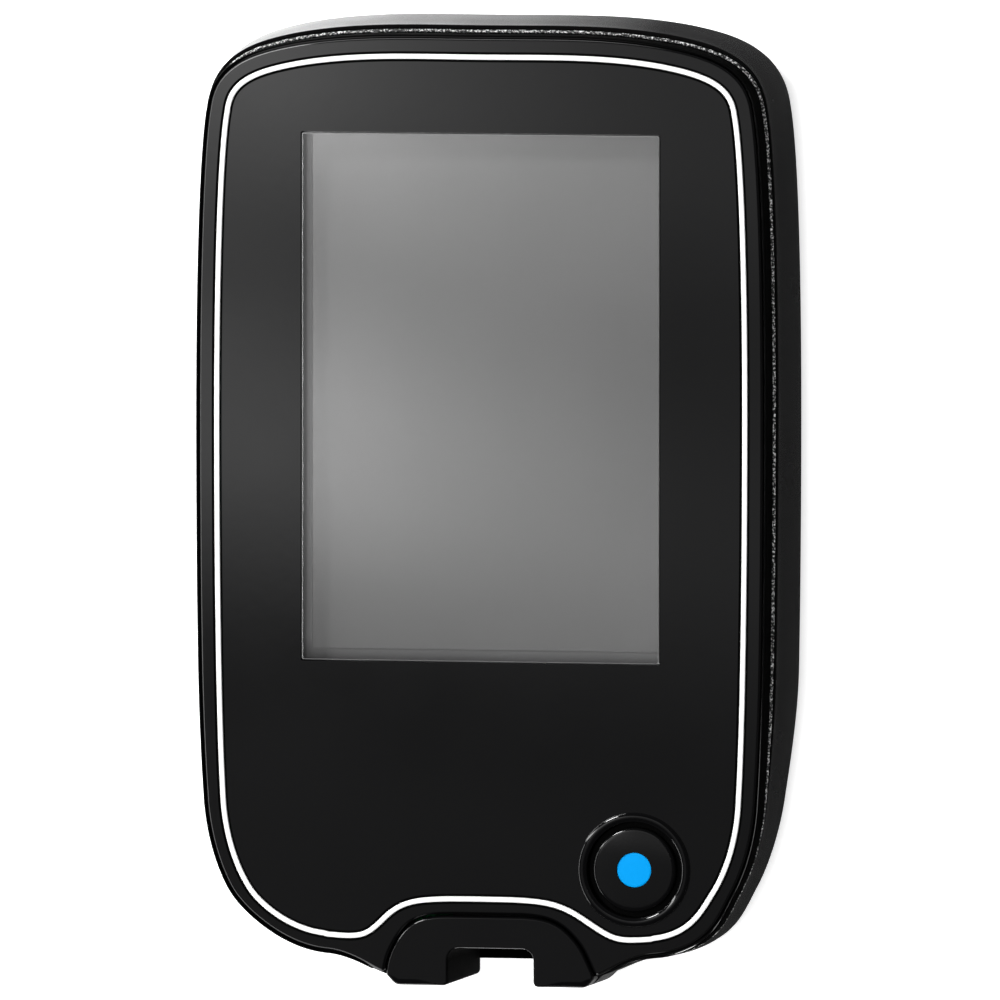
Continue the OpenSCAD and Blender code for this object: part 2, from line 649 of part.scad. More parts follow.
battery_y = contact_y + 4 + battery_l / 2;
pad_z = ferrite_z + ferrite_t;
cell_z = pad_z + pad_t;
cell_top = board_z - 0.5;
pad_inset = 2;
cell_corner = 1.6;
battery_p = [-battery_w / 2, battery_y - battery_l / 2];
battery_q = [battery_w / 2, battery_y + battery_l / 2];
module battery_pad() color([0.15, 0.15, 0.15])
    slab(pad_z, cell_z) rect(battery_p, battery_q, -pad_inset);
module battery_cell() color([0.72, 0.74, 0.77]) slab(cell_z, cell_top) difference() {
    rect(battery_p, battery_q);
    for (x = [battery_p[0], battery_q[0]], y = [battery_p[1], battery_q[1]])
        translate([x, y]) rotate(45) square(cell_corner, center = true);
}

// A wire is a tube of eight sides through hand-set points
wire_r = 0.45;
wire_x = [-1.5, 0.7];
wire_gap = 0.7;
plug_at = [8, battery_q[1] + 4.2];
plug_size = [5, 3.2, 1.7];
module battery_plug() color([0.92, 0.9, 0.84])
    block([plug_at[0] - plug_size[0] / 2, plug_at[1] - plug_size[1] / 2, board_z - plug_size[2]],
          [plug_at[0] + plug_size[0] / 2, plug_at[1] + plug_size[1] / 2, board_z]);
function wire_points(x, dy) = let (y = battery_q[1], z = (cell_z + cell_top) / 2,
        e = [plug_at[0] - plug_size[0] / 2, plug_at[1] + dy, board_z - plug_size[2] / 2])
    concat([[x, y, z]],
           bez([x, y + 0.5, z], [x, y + 2.4, z], [x, e[1], e[2]], [x + 2.4, e[1], e[2]], 8),
           [[x + 2.4, e[1], e[2]], e]);
module tube(line, r) {
    n = 8;
    last = len(line) - 1;
    rings = [for (i = [0 : last])
        let (d = unit(line[min(i + 1, last)] - line[max(i - 1, 0)]),
             u = unit(cross(d, [0.3, 0.2, 1])), v = cross(d, u))
        [for (k = [0 : n - 1]) line[i] + r * (u * cos(360 * k / n) + v * sin(360 * k / n))]];
    loft(rings);
}
module battery_lead_red() color([0.75, 0.08, 0.06]) tube(wire_points(wire_x[0], wire_gap), wire_r);
module battery_lead_black() color([0.06, 0.06, 0.06]) tube(wire_points(wire_x[1], -wire_gap), wire_r);

buzzer_at = [-13.2, foot_y + 16.2];
buzzer_r = 4.6;
buzzer_t = 1.9;
buzzer_hole_r = 0.8;
buzzer_hole_d = 0.6;
module buzzer() color([0.12, 0.12, 0.13]) difference() {
    disc(buzzer_at, buzzer_r, board_z - buzzer_t, board_z);
    disc(buzzer_at, buzzer_hole_r, board_z - buzzer_t - over, board_z - buzzer_t + buzzer_hole_d);
}

// ---- Vibration motor, lying along X, with its weight hanging down ----
motor_r = 2.2;
motor_l = 8;
motor_lift = 0.35;
motor_at = [-20, foot_y + 14.2, board_top + motor_r + motor_lift];
weight_gap = 0.4;
weight_r = 2;
weight_l = 2.6;
shaft_r = 0.4;
shaft_fit = 0.03;
bearing_d = 1.5;
shaft_end = 0.3;
weight_cut = 0.3;
module along_x(x0, x1, r) translate([x0, motor_at[1], motor_at[2]]) rotate([0, 90, 0])
    cylinder(r = r, h = x1 - x0, $fn = 48);
motor_end = motor_at[0] + motor_l;
module vibration_motor() color([0.7, 0.7, 0.72]) difference() {
    along_x(motor_at[0], motor_end, motor_r);
    along_x(motor_end - bearing_d, motor_end + over, shaft_r + shaft_fit);
}
module motor_weight() color([0.45, 0.45, 0.47]) {
    along_x(motor_end - bearing_d + shaft_end, motor_end + weight_gap + weight_l + shaft_end, shaft_r);
    difference() {
        along_x(motor_end + weight_gap, motor_end + weight_gap + weight_l, weight_r);
        block([motor_end, motor_at[1] - weight_r - over, motor_at[2] + weight_cut],
              [motor_end + weight_gap + weight_l + over, motor_at[1] + weight_r + over, body_t]);
    }
}
clip_t = 0.3;
clip_l = 5;
clip_in = 1.2;
clip_foot = 1.6;
module motor_clip() color([0.78, 0.78, 0.78])
    translate([motor_at[0] + clip_in, motor_at[1], 0]) rotate([90, 0, 90]) linear_extrude(clip_l) {
    c = [0, motor_at[2]];
    r = motor_r;
    difference() {
        union() {
            translate(c) circle(r + clip_t, $fn = 48);
            translate([-r - clip_t, board_top]) square([2 * (r + clip_t), c[1] - board_top]);
        }
        translate(c) circle(r, $fn = 48);
        translate([-r, board_top - over]) square([2 * r, c[1] - board_top + over]);
    }
    for (s = [-1, 1]) translate([s * (r + clip_foot / 2) - clip_foot / 2, board_top])
        square([clip_foot, clip_t]);
}

// ---- Strip connector ----
connector_side = 1.3;
connector_roof = 1.2;
connector_back = 1.2;
connector_y0 = notch_y + throat_wall + part_gap;
contact_pitch = 1.2;
contact_w = 0.4;
contact_slot = 0.7;
contact_front = 1.6;
module strip_port_body() color([0.12, 0.12, 0.13]) translate([port_x, 0, 0]) difference() {
    block([-slot_w / 2 - connector_side, connector_y0, board_top],
          [slot_w / 2 + connector_side, connector_y0 + connector_l, slot_z + slot_h + connector_roof]);
    block([-slot_w / 2, connector_y0 - over, slot_z],
          [slot_w / 2, connector_y0 + connector_l - connector_back, slot_z + slot_h]);
    for (i = [-2 : 2]) translate([i * contact_pitch - contact_slot / 2, 0, 0])
        block([0, connector_y0 + contact_front, board_top - over],
              [contact_slot, connector_y0 + connector_l + over, slot_z + eps]);
}
// Each contact rises from its foot on the board to a crest inside the slot, and falls again
contact_foot = 0.8;
contact_crest = 0.35;
contact_tip = 1.1;
contact_line = [[connector_y0 + connector_l + contact_foot, board_top], [connector_y0 + 7, board_top],
                [connector_y0 + 6, board_top + 0.4], [connector_y0 + 4.2, board_top + contact_tip],
                [connector_y0 + 3, slot_z + contact_crest], [connector_y0 + 2.2, board_top + contact_tip]];
module strip_contacts() color([0.88, 0.7, 0.3]) for (i = [-2 : 2])
    flex(port_x + i * contact_pitch, contact_w, contact_line);

// ---- Charging socket ----
module socket_box(g, x0, x1) block([x0, socket_pos_y - socket_w / 2 + g, socket_z + g],
                                   [x1, socket_pos_y + socket_w / 2 - g, socket_z + socket_h - g]);
module usb_receptacle() color([0.75, 0.75, 0.77]) difference() {
    socket_box(0, socket_x, socket_x + socket_d);
    socket_box(socket_wall, socket_x - over, socket_x + socket_d - socket_wall);
}
blade_in = 0.6;
blade_w = 4.4;
blade_z = [socket_z + socket_h / 2 - 0.1, socket_z + socket_h / 2 + 0.5];
module usb_tongue() color([0.1, 0.1, 0.1])
    block([socket_x + blade_in, socket_pos_y - blade_w / 2, blade_z[0]],
          [socket_x + socket_d - socket_wall, socket_pos_y + blade_w / 2, blade_z[1]]);

// ---- Home button and its switch ----
flange_r = 5.2;
flange_t = 0.6;
flange_gap = 0.3;
flange_z = plate_z - flange_gap - flange_t;
skirt_top = ledge_z - 0.1;
stem_r = 1.2;
switch_h = 1.6;
plunger_r = 1;
plunger_h = 1.1;
plunger_fit = 0.06;
plunger_proud = 0.3;
plunger_top = board_top + switch_h + button_travel + plunger_proud;
cap_edge = 0.15;
cap_round = 0.4;
dome_steps = 5;
pocket_d = 0.5;
pocket_z = body_t - pocket_d;
module home_button() color([0.02, 0.02, 0.022]) translate([button_pos[0], button_pos[1], 0])
    rotate_extrude($fn = 96) polygon(concat(
        [[0, plunger_top], [stem_r, plunger_top], [stem_r, flange_z], [flange_r, flange_z],
         [flange_r, flange_z + flange_t], [button_hole_r - button_fit, flange_z + flange_t],
         [button_hole_r - button_fit, skirt_top], [button_r, skirt_top]],
        arc([button_r - cap_round, body_t - cap_edge - cap_round], cap_round, 0, 75, 5),
        [for (i = [1 : dome_steps]) let (t = i / dome_steps, q = button_r - cap_round)
            [q - (q - dot_r - trim_gap) * t,
             body_t - cap_edge + (button_dome + cap_edge) * (1 - ((q - (q - dot_r) * t) / q) ^ 2)]],
        [[dot_r + trim_gap, pocket_z], [0, pocket_z]]));
dot_steps = 4;
module button_dot() color([0.01, 0.36, 0.87]) translate([button_pos[0], button_pos[1], 0])
    rotate_extrude($fn = 72) polygon(concat(
        [[0, pocket_z], [dot_r, pocket_z]],
        [for (i = [0 : dot_steps]) let (r = dot_r * (1 - i / dot_steps), q = button_r - cap_round)
            [r, body_t - cap_edge + (button_dome + cap_edge) * (1 - (r / q) ^ 2)]]));

switch_w = 4.8;
switch_floor = 0.3;
switch_roof = 0.4;
switch_room_r = 1.9;
module switch_body() color([0.75, 0.75, 0.72]) difference() {
    chip(button_pos, [switch_w, switch_w, switch_h]);
    disc(button_pos, plunger_r + plunger_fit, board_top + switch_floor, body_t);
    disc(button_pos, switch_room_r, board_top + switch_floor, board_top + switch_h - switch_roof);
}
module switch_plunger() color([0.1, 0.1, 0.1])
    disc(button_pos, plunger_r, plunger_top - plunger_h, plunger_top);
// The dome is a thin snap disc: a flat crown, a slope, and a rim that stands on the switch's floor
dome_gap = 0.05;
dome_t = 0.15;
dome_crown_r = 0.7;
dome_rim_r = 1.8;
dome_top = plunger_top - plunger_h - dome_gap;
module switch_dome() color([0.8, 0.8, 0.8]) translate([button_pos[0], button_pos[1], 0])
    rotate_extrude($fn = 48) polygon([
        [0, dome_top], [dome_crown_r, dome_top - 0.05],
        [dome_rim_r - 0.1, board_top + switch_floor + 0.05], [dome_rim_r, board_top + switch_floor],
        [dome_rim_r - 0.25, board_top + switch_floor], [dome_crown_r - 0.1, dome_top - dome_t - 0.05],
        [0, dome_top - dome_t]]);

// ---- Screws ----
case_screw_l = 9.5;
// Length, width and depth of each arm of the cross in a screw's head
cross = [2.2, 0.4, 0.6];
small_cross = [1.6, 0.3, 0.3];
module case_screws() color([0.25, 0.25, 0.26]) at_bosses() difference() {
    union() {
        translate([0, 0, head_sink]) cylinder(r = head_r, h = head_h, $fn = 48);
        translate([0, 0, head_sink + head_h - eps]) cylinder(r = screw_r, h = case_screw_l, $fn = 32);
    }
    for (a = [0, 90]) rotate(a)
        translate([-cross[0] / 2, -cross[1] / 2, head_sink - eps]) cube(cross);
}
module board_screws() color([0.7, 0.7, 0.7]) at_stands() difference() {
    union() {
        translate([0, 0, board_top]) cylinder(r = small_head_r, h = small_head_h, $fn = 32);
        translate([0, 0, board_top - small_l + part_gap]) cylinder(r = small_r, h = small_l, $fn = 32);
    }
    for (a = [0, 90]) rotate(a)
        translate([-small_cross[0] / 2, -small_cross[1] / 2, board_top + small_head_h - small_cross[2]])
            cube(small_cross + [0, 0, eps]);
}

rear_shell();
front_housing();
fascia();
display_window();
accent_trim();
port_bezel();
touch_sensor();
touch_flex();
display_gasket();
lcd_polarizer();
lcd_panel();
lcd_backlight();
lcd_frame();
display_flex();
main_board();
processor_chip();
memory_chip();
charger_chip();
radio_chip();
chip_capacitors();
shield_can();
antenna_film();
antenna_coil();
ferrite_sheet();
antenna_contacts();
battery_pad();
battery_cell();
battery_lead_red();
battery_lead_black();
battery_plug();
buzzer();
vibration_motor();
motor_weight();
motor_clip();
strip_port_body();
strip_contacts();
usb_receptacle();
usb_tongue();
home_button();
button_dot();
switch_body();
switch_plunger();
switch_dome();
case_screws();
board_screws();
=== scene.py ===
import bpy
import math
import numpy as np
from mathutils import Vector, Matrix
from mathutils.geometry import tessellate_polygon


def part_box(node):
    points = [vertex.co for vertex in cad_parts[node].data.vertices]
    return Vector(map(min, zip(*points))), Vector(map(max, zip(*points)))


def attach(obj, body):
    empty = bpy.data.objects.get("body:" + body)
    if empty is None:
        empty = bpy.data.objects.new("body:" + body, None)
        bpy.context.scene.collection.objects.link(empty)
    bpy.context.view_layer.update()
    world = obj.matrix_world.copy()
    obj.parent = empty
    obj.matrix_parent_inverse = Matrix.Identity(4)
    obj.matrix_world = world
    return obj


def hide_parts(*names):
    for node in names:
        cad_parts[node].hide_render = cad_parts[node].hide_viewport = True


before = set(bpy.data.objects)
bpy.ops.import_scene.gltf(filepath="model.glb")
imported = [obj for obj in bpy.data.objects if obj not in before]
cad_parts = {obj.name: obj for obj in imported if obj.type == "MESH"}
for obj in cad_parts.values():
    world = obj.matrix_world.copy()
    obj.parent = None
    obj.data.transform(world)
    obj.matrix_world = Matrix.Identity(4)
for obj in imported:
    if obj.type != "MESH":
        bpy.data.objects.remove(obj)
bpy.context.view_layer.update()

MM = 0.001
scene = bpy.context.scene

# ---------------------------------------------------------------- sizes, in millimetres
BODY_L, BODY_W, BODY_T = 95.0, 60.0, 16.0
SIDE_FLARE, TOP_FLARE = 1.9, 2.0
WALL = 1.6
RIM_T, SEAM_GAP = 2.9, 0.15
FASCIA_T, PLATE_T, GROOVE = 1.0, 1.0, 0.2
TRIM_W, TRIM_T, TRIM_INSET, TRIM_GAP = 0.6, 0.3, 1.6, 0.2
HALF_W = BODY_W / 2 - SIDE_FLARE
FACE_TOP = BODY_L / 2 - TOP_FLARE
FOOT_Y = -BODY_L / 2
CROWN_DROP = 0.8
CORNER_Y = FACE_TOP - CROWN_DROP
TOP_CORNER_W, TOP_CORNER_L = 9.6, 6.8
BOTTOM_CORNER_W, BOTTOM_CORNER_L = 11.6, 18.8
FOOT_RISE, FOOT_HALF_W = 3.4, 9.1
LOWER_Y = FOOT_Y + FOOT_RISE
RIM_Z = BODY_T - RIM_T
SHELL_Z = RIM_Z - SEAM_GAP
LEDGE_Z = BODY_T - FASCIA_T
PLATE_Z = LEDGE_Z - PLATE_T
PORT_X = 1.0
NOTCH_W, NOTCH_D, NOTCH_R, NOTCH_FLARE = 8.6, 3.73, 1.2, 0.5
NOTCH_X, NOTCH_Y = NOTCH_W / 2, FOOT_Y + NOTCH_D
SURROUND_H = 6.9
WINDOW_W, WINDOW_L, WINDOW_TOP, WINDOW_R = 36.1, 52.1, 9.05, 0.2
WINDOW_X = WINDOW_W / 2
WINDOW_Y1 = FACE_TOP - WINDOW_TOP
WINDOW_Y0 = WINDOW_Y1 - WINDOW_L
SENSOR_T, SENSOR_EDGE = 0.7, 1.6
BUTTON = np.array([15.45, FOOT_Y + 11.7])
BUTTON_R, HOLE_R, COLLAR_R, COLLAR_H, DOT_R = 4.15, 4.75, 5.65, 0.25, 1.7
ABOVE = 17  # a height clear above the face
PAST = 1  # how far a cut starts outside what it cuts
TINY = 1e-12
# How many times as dense as the construction model's outlines these are
FINE = 9
ROUND_STEPS, FEW_STEPS = 128, 32
# Offsets [side, top, low, foot] from the face's outline: panel edge, rim inside, rim outside
PANEL_OUT = np.array([0.2, 0.25, 0.0, 0.0])
RIM_IN = np.array([0.32, 0.37, 0.2, 0.0])
RIM_OUT = np.array([0.6, 0.6, 0.4, 0.0])


# ---------------------------------------------------------------- outlines
def bez(a, b, c, d, n):
    """n * FINE points from a towards d along a cubic curve, without d."""
    t = (np.arange(n * FINE) / (n * FINE))[:, None]
    s = 1 - t
    a, b, c, d = (np.array(v, float) for v in (a, b, c, d))
    return a * s**3 + 3 * b * t * s**2 + 3 * c * t**2 * s + d * t**3


def straight(a, b, n):
    """n points from a towards b, without b."""
    t = (np.arange(n) / n)[:, None]
    return np.array(a, float) * (1 - t) + np.array(b, float) * t


def arc(c, r, a0, a1, n):
    a = np.radians(np.linspace(a0, a1, n + 1))
    return np.array(c, float) + r * np.column_stack([np.cos(a), np.sin(a)])


def ease(t):
    """Eases from 0 to 1 while t goes from 0 to 1."""
    c = np.clip(t, 0, 1)
    return c**2 * (3 - 2 * c)


def mirrored(half):
    return np.vstack([half, half[:0:-1] * [-1, 1]])


LEAN_Y, LEAN_RUN = FOOT_Y + 9.5, 6


def leaned(line):
    """The lowest part moves sideways, to where the strip port stands."""
    out = line.copy()
    out[:, 0] += PORT_X * ease((LEAN_Y - out[:, 1]) / LEAN_RUN)
    return out


def normals(line):
    """Unit vectors out of a closed line that runs clockwise."""
    ahead = np.roll(line, -1, 0) - line
    behind = line - np.roll(line, 1, 0)
    ahead /= np.linalg.norm(ahead, axis=1)[:, None] + TINY
    behind /= np.linalg.norm(behind, axis=1)[:, None] + TINY
    s = ahead + behind
    s /= np.linalg.norm(s, axis=1)[:, None] + TINY
    return np.column_stack([-s[:, 1], s[:, 0]])


def moved(line, g):
    return line + g * normals(line)


# The face's outline, from the top centre to the bottom centre: where its curves meet, and
# the handles at both ends of each
SIDE_TUCK, SIDE_BOW, SIDE_SWELL_Y = 1.1, 0.6, 8.0
FOOT_SIDE, FOOT_STEP = 1.8, 1.3
crown_end = np.array([HALF_W - TOP_CORNER_W, CORNER_Y])
side_top = np.array([HALF_W - SIDE_TUCK, CORNER_Y - TOP_CORNER_L + CROWN_DROP])
side_mid = np.array([HALF_W, SIDE_SWELL_Y])
side_low = np.array([HALF_W - SIDE_BOW, FOOT_Y + BOTTOM_CORNER_L])
bottom_end = np.array([side_low[0] - BOTTOM_CORNER_W + SIDE_BOW, LOWER_Y])
foot_top = np.array([FOOT_HALF_W + FOOT_SIDE, FOOT_Y + FOOT_STEP])
foot_end = [FOOT_HALF_W, FOOT_Y]
notch_start = [NOTCH_X + 1, FOOT_Y]
CROWN_HANDLES = 7, 6 * np.array([-1, 0.171])
TOP_HANDLES = 4.3 * np.array([1, -0.19]), 4.1 * np.array([-0.13, 1])
SIDE_HANDLE = np.array([0, 14])
SIDE_ENDS = np.array([0.77, -4.1]), np.array([0.42, 7])
LOW_HANDLES = 7.2 * np.array([0.03, 1]), 7.3 * np.array([1, 0.09])
FOOT_HANDLES = 2.6 * np.array([1, 0.09]), 1.2 * np.array([1, 0.35])
FOOT_ROUND = 0.7 * np.array([1, 0.35]), 0.9
half_upper = np.vstack([
    bez([0, FACE_TOP], [CROWN_HANDLES[0], FACE_TOP],
        crown_end + CROWN_HANDLES[1], crown_end, 5),
    bez(crown_end, crown_end + TOP_HANDLES[0], side_top + TOP_HANDLES[1], side_top, 9),
    bez(side_top, side_top + SIDE_ENDS[0], side_mid + SIDE_HANDLE, side_mid, 5),
    bez(side_mid, side_mid - SIDE_HANDLE, side_low + SIDE_ENDS[1], side_low, 5),
    bez(side_low, side_low - LOW_HANDLES[0], bottom_end + LOW_HANDLES[1], bottom_end, 9)])
half_foot = np.vstack([
    bez(bottom_end, bottom_end - FOOT_HANDLES[0], foot_top + FOOT_HANDLES[1], foot_top, 3),
    bez(foot_top, foot_top - FOOT_ROUND[0], [FOOT_HALF_W + FOOT_ROUND[1], FOOT_Y], foot_end, 2)])
half_face = np.vstack([half_upper, half_foot, straight(foot_end, notch_start, 12), [notch_start]])
half_room = np.vstack([half_upper, straight(bottom_end, bottom_end / [3, 1], 6)])
# The case's own outline also goes round the strip port's notch
half_notch = np.vstack([
    straight(notch_start, [NOTCH_X + NOTCH_FLARE, FOOT_Y], 3),
    arc([NOTCH_X + NOTCH_FLARE, FOOT_Y + NOTCH_FLARE], NOTCH_FLARE, 270, 180, 10),
    arc([NOTCH_X - NOTCH_R, NOTCH_Y - NOTCH_R], NOTCH_R, 0, 90, 14),
    straight([NOTCH_X - NOTCH_R - 0.4, NOTCH_Y], [0.4, NOTCH_Y], 6)])
half_case = np.vstack([half_face[:-1], half_notch])
face_line, room_line, case_line = (
    leaned(mirrored(half)) for half in (half_face, half_room, half_case))
# Share of the notch in each point of the case's outline, from 0 on the feet to 1 inside it
SHARE_START, SHARE_RUN = 7.6, 2.6
case_notch = ease((np.abs(half_case[:, 0]) - SHARE_START) / -SHARE_RUN) * \
    (half_case[:, 1] < NOTCH_Y + 0.01)
case_notch = np.concatenate([case_notch, case_notch[:0:-1]])

# The surround of the notch in the face
SURROUND_Y = FOOT_Y + SURROUND_H
SURROUND_FLAT = [3.2, SURROUND_Y]
LEFT_SWELL, LEFT_RUN = 2.4, 6
surround_side = np.array([FOOT_HALF_W + 1.5, FOOT_Y + 0.6])
surround_knee = np.array([surround_side[0] - 2, SURROUND_Y - 2.3])
half_surround = np.vstack([
    straight([0, SURROUND_Y], SURROUND_FLAT, 10),
    bez(SURROUND_FLAT, [6.6, SURROUND_Y], surround_knee + [-1.15, 1.6], surround_knee, 4),
    bez(surround_knee, surround_knee + [0.8, -1.1], surround_side + [-0.45, 1.1],
        surround_side, 3),
    [surround_side, [surround_side[0], FOOT_Y - 1]]])
surround_line = leaned(mirrored(half_surround))
swell = np.clip((SURROUND_Y - surround_line[:, 1]) / LEFT_RUN, 0, 1) * (surround_line[:, 0] < 0)
surround_line[:, 0] -= LEFT_SWELL * swell * (1 - swell)

# The light line: along the face's edge, then down to a turn, and up over the surround
trim_low = np.array([bottom_end[0] - 0.25, bottom_end[1] + TRIM_INSET - 0.09])
trim_turn = np.array([10.08, -40.88])
trim_slope = np.array([0.787, -0.617])
trim_rise = SURROUND_Y + TRIM_INSET + 0.07
trim_over = [3.0, trim_rise]
edge_run = half_upper - TRIM_INSET * normals(mirrored(half_room))[:len(half_upper)]
half_trim = np.vstack([
    edge_run,
    bez(trim_low, trim_low - [3.5, 0.28], trim_turn + 3.05 * trim_slope, trim_turn, 6),
    bez(trim_turn, trim_turn - 2.6 * trim_slope, [6.6, trim_rise - 0.1], trim_over, 7),
    straight(trim_over, [0.5, trim_rise + 0.02], 5)])
trim_line = leaned(mirrored(half_trim))

FADE_Y, FADE_RUN = FOOT_Y + 11, 20


def offset_ring(line, side, top, low, foot, notch=0.0, notch_share=None):
    """Moves a closed line out by the case's own offsets, as the construction model does."""
    m = normals(line)
    y = line[:, 1]
    w = np.minimum(1, (y - FOOT_Y) / FOOT_RISE)
    fade = ease((y - FADE_Y) / FADE_RUN)
    across = foot + w * (low + fade * (side - low) - foot)
    down = foot + w * (low - foot)
    g = m[:, 0]**2 * across + m[:, 1]**2 * np.where(m[:, 1] > 0, top, down)
    if notch_share is not None:
        g = g * (1 - notch_share) + notch * notch_share
    return line + g[:, None] * m


def rounded_rect(x0, y0, x1, y1, r, n=6):
    """Clockwise, as all the outlines here."""
    return np.vstack([arc([x1 - r, y1 - r], r, 90, 0, n), arc([x1 - r, y0 + r], r, 0, -90, n),
                      arc([x0 + r, y0 + r], r, 270, 180, n), arc([x0 + r, y1 - r], r, 180, 90, n)])


def button_circle(r):
    a = -np.arange(ROUND_STEPS) * 2 * math.pi / ROUND_STEPS
    return BUTTON + r * np.column_stack([np.cos(a), np.sin(a)])


def from_button(x, y):
    return math.hypot(x - BUTTON[0], y - BUTTON[1])


def crossing(line, other):
    """The first place where a line crosses another closed one: its index there, and the point."""
    for i in range(len(line) - 1):
        p, r = line[i], line[i + 1] - line[i]
        s = np.roll(other, -1, 0) - other
        d = r[0] * s[:, 1] - r[1] * s[:, 0]
        d = np.where(np.abs(d) < TINY, TINY, d)
        w = other - p
        t = (w[:, 0] * s[:, 1] - w[:, 1] * s[:, 0]) / d
        u = (w[:, 0] * r[1] - w[:, 1] * r[0]) / d
        hit = np.where((t >= 0) & (t < 1) & (u >= 0) & (u < 1))[0]
        if len(hit):
            return i, p + t[hit[0]] * r
    raise ValueError("the lines don't cross")


def nearest(line, point):
    return np.argmin(np.linalg.norm(line - point, axis=1))


def run_between(line, start, end):
    """The points of a closed line after the one nearest to start, up to the one nearest to end."""
    order = np.roll(line, -nearest(line, start), axis=0)
    return order[1:nearest(order, end)]


def rounded_corner(before, at, after, r, n=8):
    """Replaces a corner between two runs of points by a curve that starts r before it."""
    a = before[np.linalg.norm(before - at, axis=1) > r]
    b = after[np.linalg.norm(after - at, axis=1) > r]
    t = (np.arange(1, n) / n)[:, None]
    return np.vstack([a, a[-1] * (1 - t)**2 + 2 * at * t * (1 - t) + b[0] * t**2, b])


# ---------------------------------------------------------------- meshes
def sin_cos(degrees):
    return math.sin(math.radians(degrees)), math.cos(math.radians(degrees))


def lifted(line, z):
    return np.column_stack([line, np.full(len(line), float(z))])


def loft(rings):
    """A closed solid through rings of as many points each, from the lowest to the highest."""
    n = len(rings[0])
    faces = []
    for k in range(len(rings) - 1):
        a, b = k * n, (k + 1) * n
        for i in range(n):
            j = (i + 1) % n
            faces.append((a + i, b + i, b + j, a + j))
    last = (len(rings) - 1) * n
    faces.append(tuple(range(n)))
    faces.append(tuple(last + i for i in range(n - 1, -1, -1)))
    return np.vstack(rings), faces


def prism(line, z0, z1):
    return loft([lifted(line, z) for z in (z0, z1)])


def turned(profile, at, steps):
    """A solid of revolution. profile runs from the axis at the bottom, round, to the axis at
    the top."""
    verts, faces, rows = [], [], []
    for r, z in profile:
        if r < TINY:
            rows.append([len(verts)])
            verts.append((at[0], at[1], z))
        else:
            rows.append(list(range(len(verts), len(verts) + steps)))
            for i in range(steps):
                a = 2 * math.pi * i / steps
                verts.append((at[0] + r * math.cos(a), at[1] + r * math.sin(a), z))
    for lo, hi in zip(rows, rows[1:]):
        for i in range(steps):
            j = (i + 1) % steps
            if len(lo) == 1:
                faces.append((lo[0], hi[j], hi[i]))
            elif len(hi) == 1:
                faces.append((lo[i], lo[j], hi[0]))
            else:
                faces.append((lo[i], lo[j], hi[j], hi[i]))
    return np.array(verts), faces


def box_mesh(p, q):
    (x0, y0, z0), (x1, y1, z1) = p, q
    v = [(x, y, z) for z in (z0, z1) for y in (y0, y1) for x in (x0, x1)]
    f = [(0, 2, 3, 1), (4, 5, 7, 6), (0, 1, 5, 4), (1, 3, 7, 5), (3, 2, 6, 7), (2, 0, 4, 6)]
    return np.array(v), f


def cylinders(places, r, z0, z1, steps=64):
    return [turned([(0, z0), (r, z0), (r, z1), (0, z1)], at, steps) for at in places]


def stadium(x0, x1, size, y, z):
    """A slot across X, whose size is its width and height, and whose ends are half round."""
    w, h = size
    r = h / 2
    pts = np.vstack([arc([w / 2 - r, 0], r, -90, 90, 24), arc([r - w / 2, 0], r, 90, 270, 24)])
    v, f = loft([np.column_stack([np.full(len(pts), x), y + pts[:, 0], z + pts[:, 1]])
                 for x in (x0, x1)])
    return v, [tuple(reversed(p)) for p in f]


class Build:
    """Collects vertices and faces, and knows how to fill the flat area between closed lines."""

    def __init__(self):
        self.verts, self.faces = [], []

    def ring(self, points):
        start = len(self.verts)
        self.verts += [tuple(p) for p in points]
        return list(range(start, start + len(points)))

    def bands(self, rings):
        """Walls from each ring to the next one."""
        for a, b in zip(rings, rings[1:]):
            n = len(a)
            for i in range(n):
                j = (i + 1) % n
                self.faces.append((a[i], b[i], b[j], a[j]))

    def fill(self, rings, up=True):
        lines = [[Vector(self.verts[i]) for i in r] for r in rings]
        index = [i for r in rings for i in r]
        for t in tessellate_polygon(lines):
            f = [index[k] for k in t]
            p, q, r = (Vector(self.verts[k]) for k in f)
            if ((q - p).cross(r - p).z > 0) != up:
                f.reverse()
            self.faces.append(tuple(f))


def new_object(name, verts, faces):
    mesh = bpy.data.meshes.new(name)
    mesh.from_pydata([tuple(c * MM for c in v) for v in verts], [], faces)
    mesh.validate()
    mesh.update()
    obj = bpy.data.objects.new(name, mesh)
    scene.collection.objects.link(obj)
    return obj


def square(name, half, z, face, material):
    obj = new_object(name, [(x, y, z) for x, y in (
        (-half, -half), (half, -half), (half, half), (-half, half))], [face])
    obj.data.materials.append(material)
    return obj


def taken(obj):
    """The vertices, in millimetres, and the faces of an object, which is then removed."""
    found = ([tuple(c / MM for c in v.co) for v in obj.data.vertices],
             [tuple(p.vertices) for p in obj.data.polygons])
    bpy.data.objects.remove(obj)
    return found


def boolean(obj, operation, *meshes):
    """Cuts or joins closed meshes, one after the other, and applies the result."""
    for verts, faces in meshes:
        tool = new_object("tool", verts, faces)
        mod = obj.modifiers.new("cut", "BOOLEAN")
        mod.operation = operation
        mod.solver = "MANIFOLD"
        mod.object = tool
        depsgraph = bpy.context.evaluated_depsgraph_get()
        result = bpy.data.meshes.new_from_object(obj.evaluated_get(depsgraph))
        obj.modifiers.clear()
        old, obj.data = obj.data, result
        bpy.data.meshes.remove(old)
        bpy.data.objects.remove(tool)


